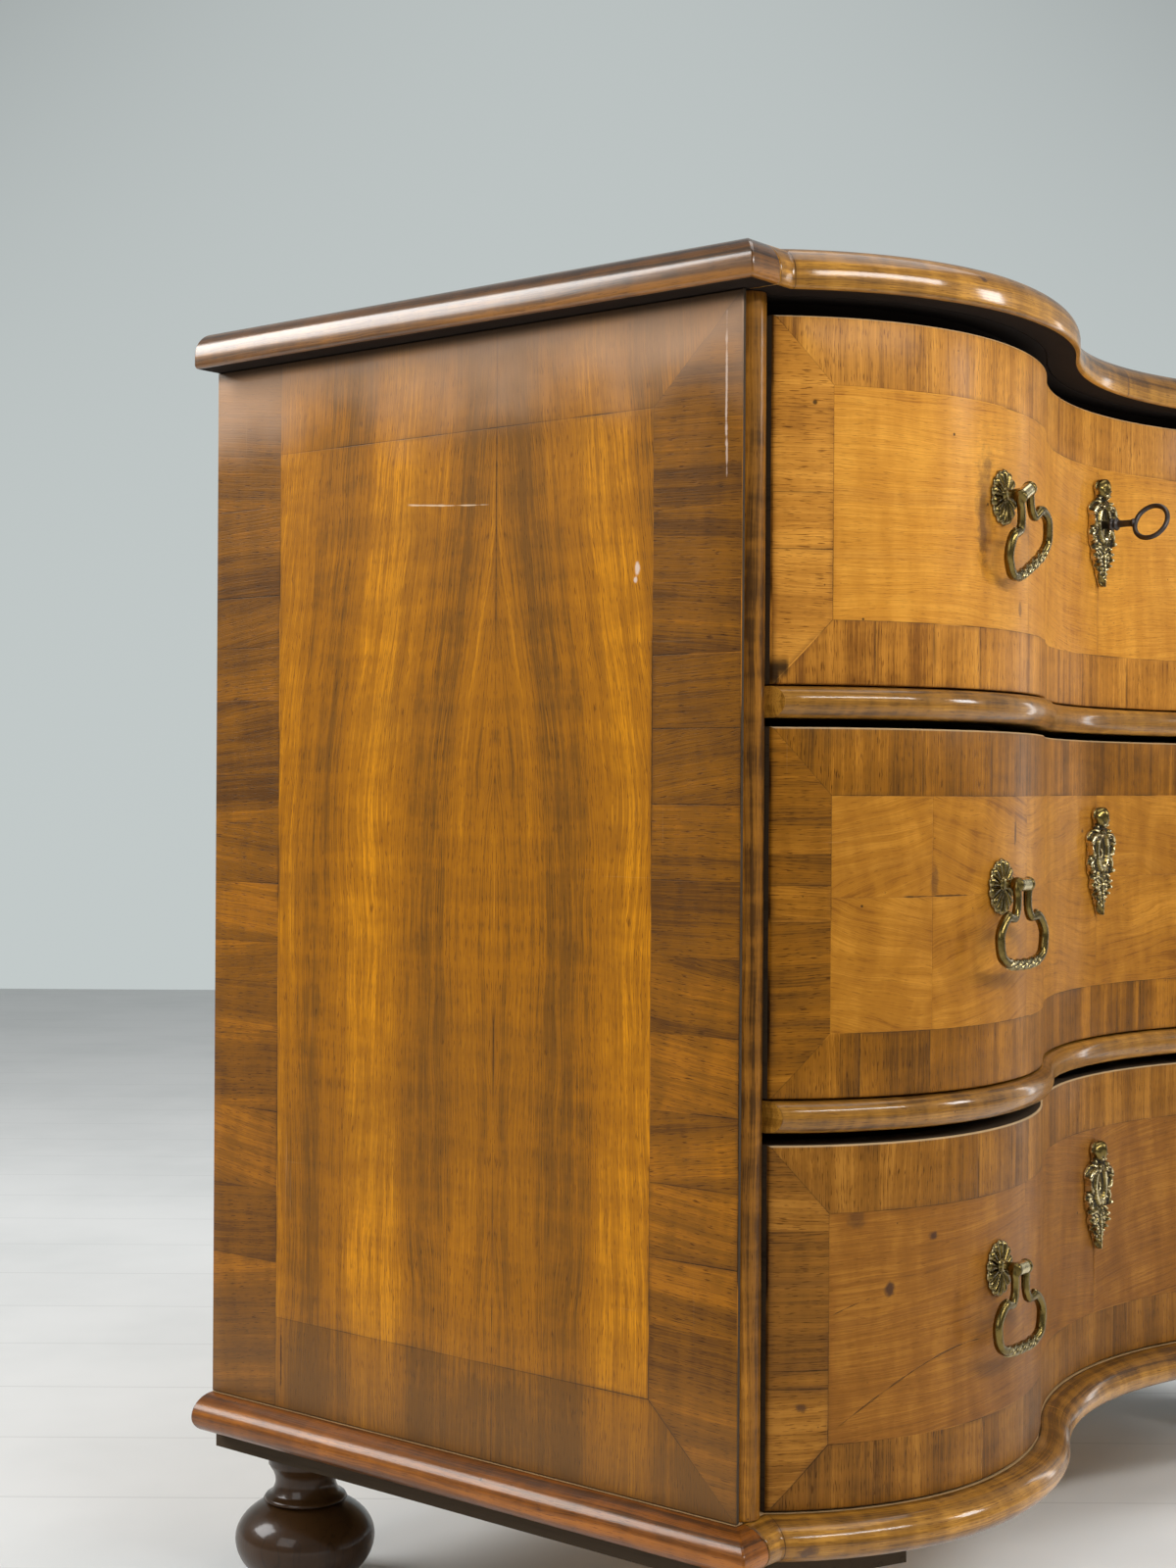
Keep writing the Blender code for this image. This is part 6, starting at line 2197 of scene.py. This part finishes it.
@dataclass
class TurnedFoot:
    """A turned bun foot: a flattened ball, a ring, a hollow neck and a collar."""

    name: str
    ball: float = 0.0483
    neck: float = 0.0209
    collar: float = 0.0257
    rise: float = 0.03

    def build(self) -> None:
        """Makes the foot and sets it under its corner."""
        low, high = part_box(self.name)
        mesh = turned(self.name, self.profile(high.z), 72, Dressing.foot)
        mesh.transform(Matrix.Translation(((low.x + high.x) / 2, (low.y + high.y) / 2, 0.0)))
        mesh.set_sharp_from_angle(angle=math.radians(50))
        piece(f"{self.name}_turned", mesh, "case", (Dressing.foot,), self.name)

    def profile(self, height: float) -> list[Point]:
        """Radius and height of the turned outline, upwards."""
        middle, neck, collar = 0.36 * height, self.neck, self.collar
        ball = arc((0.0, 0.0), (self.ball, 1.0), -68, 58, 26)
        ball = [(x, middle + (middle if up < 0 else self.rise) * up) for x, up in ball]
        ring = neck + 0.0068
        points = [(0.4 * self.ball, 0.0), *ball, (ring + 0.0012, ball[-1][1] + 0.0012)]
        points += [(ring - 0.0012, 0.612 * height)]
        points += arc((ring - 0.0016, 0.64 * height), (0.0024, 0.0026), -80, 80, 6)
        cove = [
            (neck + 0.003, 0.682), (neck + 0.0012, 0.715), (neck, 0.755), (neck + 0.0003, 0.8),
            (neck + 0.0018, 0.842), (neck + 0.0036, 0.872)
        ]
        points += [(radius, share * height) for radius, share in flowing(cove, 3)]
        points += [(collar - 0.0006, 0.884 * height), (collar, 0.893 * height), (collar, height - 0.001)]
        kept = [(0.0005, 0.0)]
        for radius, z in [*points, (collar - 0.0008, height - 0.0002)]:
            kept.append((radius, max(z, kept[-1][1] + 1e-5)))
        return [*kept, (0.0005, height)]


@dataclass(frozen=True)
class FloorPaint(Finish):
    """White painted boards with faint joints and clouds."""

    turn: float
    name: str = "floor_paint"

    def dress(self, net: Net, shader: Node) -> None:
        """Builds the floor's nodes."""
        place = net.add("ShaderNodeTexCoord")["Object"]
        cloud = net.between(net.noise(place, 2.2, 4.0, 0.6), 0.35, 0.75)
        colour = net.mix(cloud, srgb(232, 232, 230), srgb(220, 221, 219))
        lying = net.add("ShaderNodeMapping", {"Vector": place, "Rotation": (0.0, 0.0, self.turn)})[0]
        joint = abs(net.math("FRACT", net.parts(lying)[1] / 0.16) - 0.5)
        colour = net.mix(net.between(joint, 0.485, 0.5) * 0.35, colour, srgb(170, 170, 166))
        net.feed(shader, {"Base Color": colour, "Roughness": 0.45, "Specular IOR Level": 0.3})


@dataclass(frozen=True)
class WallGlow(Finish):
    """A pale wall that glows for the camera and the gloss, its grey falling off upwards and to the sides as
    painted light.

    The foot is the point of the wall's foot straight ahead of the camera, and aside is the level
    direction along the wall.
    """

    foot: Vector
    aside: Vector
    name: str = "wall_paint"

    def dress(self, net: Net, shader: Node) -> None:
        """Builds the wall's nodes."""
        net.feed(shader, {"Base Color": srgb(190, 197, 198), "Roughness": 0.9})
        place = net.add("ShaderNodeTexCoord")["Object"]
        up = net.parts(place)[2]
        ways = {0: place - tuple(self.foot), 1: tuple(self.aside)}
        reach = net.add("ShaderNodeVectorMath", ways, operation="DOT_PRODUCT")["Value"]
        # Painted fall-off of light: the glow dims higher up and further to the sides.
        level = 0.54 - up**2.0 * 0.0072 - reach**2.0 * 0.00205 * up**3.0
        level = net.math("MAXIMUM", level, 0.32)
        inputs = {"Red": level, "Green": level * 1.09, "Blue": level * 1.085}
        grey = net.add("ShaderNodeCombineColor", inputs)[0]
        glow = net.add("ShaderNodeEmission", {"Color": grey, "Strength": 1.0})[0]
        path = net.add("ShaderNodeLightPath")
        seen = net.math("MAXIMUM", path["Is Glossy Ray"], path["Is Transmission Ray"])
        seen = net.math("MAXIMUM", path["Is Camera Ray"], seen)
        mixed = net.add("ShaderNodeMixShader", {0: seen, 1: Placed(net, shader)[0], 2: glow})[0]
        net.feed(net.tree.nodes["Material Output"], {"Surface": mixed})


@dataclass
class Studio:
    """The photograph's camera, a pale floor and wall, and soft lamps."""

    eye: Vector = field(default_factory=lambda: Vector((-1.5135, -0.916, 0.558)))
    yaw: float = math.radians(51.09)
    pitch: float = 0.00067
    roll: float = 0.00596
    focal: float = 2290.0
    image_height: float = 1600.0
    wall_ahead: float = 6.06

    def build(self) -> None:
        """Makes the camera, the stage and the lamps."""
        ahead = Vector((math.sin(self.yaw), math.cos(self.yaw), 0.0))
        self.build_camera(ahead)
        self.build_stage(ahead)
        self.build_lamps()

    def build_camera(self, ahead: Vector) -> None:
        """Sets the camera as the photograph's edges give it."""
        data = bpy.data.cameras.new("photo_camera")
        data.sensor_width = 36.0
        data.lens = self.focal / self.image_height * data.sensor_width
        camera = linked("photo_camera", data)
        look = ahead + Vector((0.0, 0.0, math.tan(self.pitch)))
        turn = look.to_track_quat("-Z", "Y").to_matrix() @ Matrix.Rotation(self.roll, 3, "Z")
        camera.matrix_world = Matrix.Translation(self.eye) @ turn.to_4x4()
        bpy.context.scene.camera = camera

    def build_stage(self, ahead: Vector) -> None:
        """Lays the floor and stands the wall behind the chest."""
        aside, rise = Vector((ahead.y, -ahead.x, 0.0)), Vector((0.0, 0.0, 5.0))
        foot = Vector((self.eye.x, self.eye.y, 0.0)) + ahead * self.wall_ahead
        left, right = foot - 9 * aside, foot + 9 * aside
        flat = [Vector((x, y, 0.0)) for x, y in ((-7, -7), (7, -7), (7, 7), (-7, 7))]
        floor = self.plane("floor", flat, FloorPaint(self.yaw))
        wall = self.plane("wall", [left, right, right + rise, left + rise], WallGlow(foot, aside))

    def plane(self, name: str, corners: Sequence[Vector], paint: Finish) -> Object:
        """A flat painted face of the stage."""
        mesh = bpy.data.meshes.new(name)
        mesh.from_pydata([tuple(c) for c in corners], [], [tuple(range(len(corners)))])
        mesh.materials.append(paint.material())
        return linked(name, mesh)

    def build_lamps(self) -> None:
        """Hangs the soft lamps and sets the room's own light."""
        bpy.context.scene.view_settings.view_transform = "Standard"
        self.lamp("key_lamp", (-0.5, -1.4, 1.3), (-0.28, -0.24, 0.6), (1.1, 0.14), 11.6)
        self.lamp("back_lamp", (-2.0, 2.15, 2.25), (-0.47, 0.1, 0.85), (1.55, 1.55), 84.0)
        self.lamp("ceiling_lamp", (0.2, -0.3, 2.8), (0.0, 0.0, 0.4), (2.0, 2.0), 26.0)
        self.lamp("side_lamp", (-2.6, -0.2, 1.5), (-0.46, 0.05, 0.5), (1.2, 1.2), 10.0)
        self.lamp("strip_lamp", (2.3, -0.75, 0.7), (0.0, -0.2, 0.5), (0.2, 1.2), 3.0)
        self.lamp("front_lamp", (1.1, -2.0, 1.35), (0.0, -0.4, 0.3), (0.45, 0.45), 12.5)
        lit = self.lamp("floor_lamp", (0.9, -1.5, 2.0), (0.4, -0.75, 0.0), (0.9, 0.9), 18.0)
        only = bpy.data.collections.new("floor_only")
        only.objects.link(bpy.data.objects["floor"])
        lit.light_linking.receiver_collection = only
        world = bpy.data.worlds.new("room")
        world.use_nodes = True
        sky = {"Color": srgb(222, 226, 230), "Strength": 0.34}
        Net(world.node_tree).feed(world.node_tree.nodes["Background"], sky)
        bpy.context.scene.world = world

    def lamp(
        self, name: str, spot: Sequence[float], target: Sequence[float], size: Point, power: float
    ) -> Object:
        """Hangs a soft lamp.

        Args:
            name: the lamp's name.
            spot: where it hangs.
            target: the place that it looks at.
            size: its width and height.
            power: its power in watts.

        Returns:
            The lamp's object.
        """
        data = bpy.data.lights.new(name, "AREA")
        data.shape = "RECTANGLE"
        data.size, data.size_y = size
        data.energy = power
        made = linked(name, data)
        made.location = spot
        made.rotation_euler = (Vector(target) - Vector(spot)).to_track_quat("-Z", "Y").to_euler()
        return made


def dress_inner_boards() -> None:
    """Gives the solids that stay in sight their woods."""
    for name in ("base_board", "back_board_lower"):
        dress_node(name, Dressing.pine_x)
    dress_node("back_board_upper", Dressing.pine_upper)
    for name in ("bearer_left", "bearer_right"):
        dress_node(name, Dressing.bearer)
    for number in (1, 2, 3):
        for part in ("side_left", "side_right"):
            dress_node(f"drawer_{number}_{part}", Dressing.pine_y)
        for part in ("back", "bottom"):
            dress_node(f"drawer_{number}_{part}", Dressing.pine_x)
    # The top rail wears near black, as painted shadow in the gap over the top drawer.
    dress_node("rail_top", Dressing.rail)


def main() -> None:
    """Builds the chest's looks, piece by piece."""
    logging.basicConfig(level=logging.INFO, format="%(name)s: %(message)s")
    Studio().build()
    for side, label in ((-1, "left"), (1, "right")):
        SidePanel(side, f"side_{label}").build()
        CornerPost(side, f"post_{label}").build()
    TopSlab().build()
    for edge in Edge:
        EdgeMoulding(edge).build()
    for name in ("divider_upper", "divider_lower"):
        Divider(name).build()
    for number in (1, 2, 3):
        DrawerFront(number).build()
        for part in ("case", "bolt"):
            dress_node(f"lock_{part}_{number}", Dressing.iron)
    dress_inner_boards()
    for name in ("foot_front_left", "foot_front_right", "foot_back_left", "foot_back_right"):
        TurnedFoot(name).build()
    for number in (1, 2, 3):
        for side in (-1, 1):
            PullPlate(PullPlace(number, side)).build()
            Bail(PullPlace(number, side)).build()
        KeyPlate(number).build()
    Key().build()


if __name__ == "__main__":
    main()
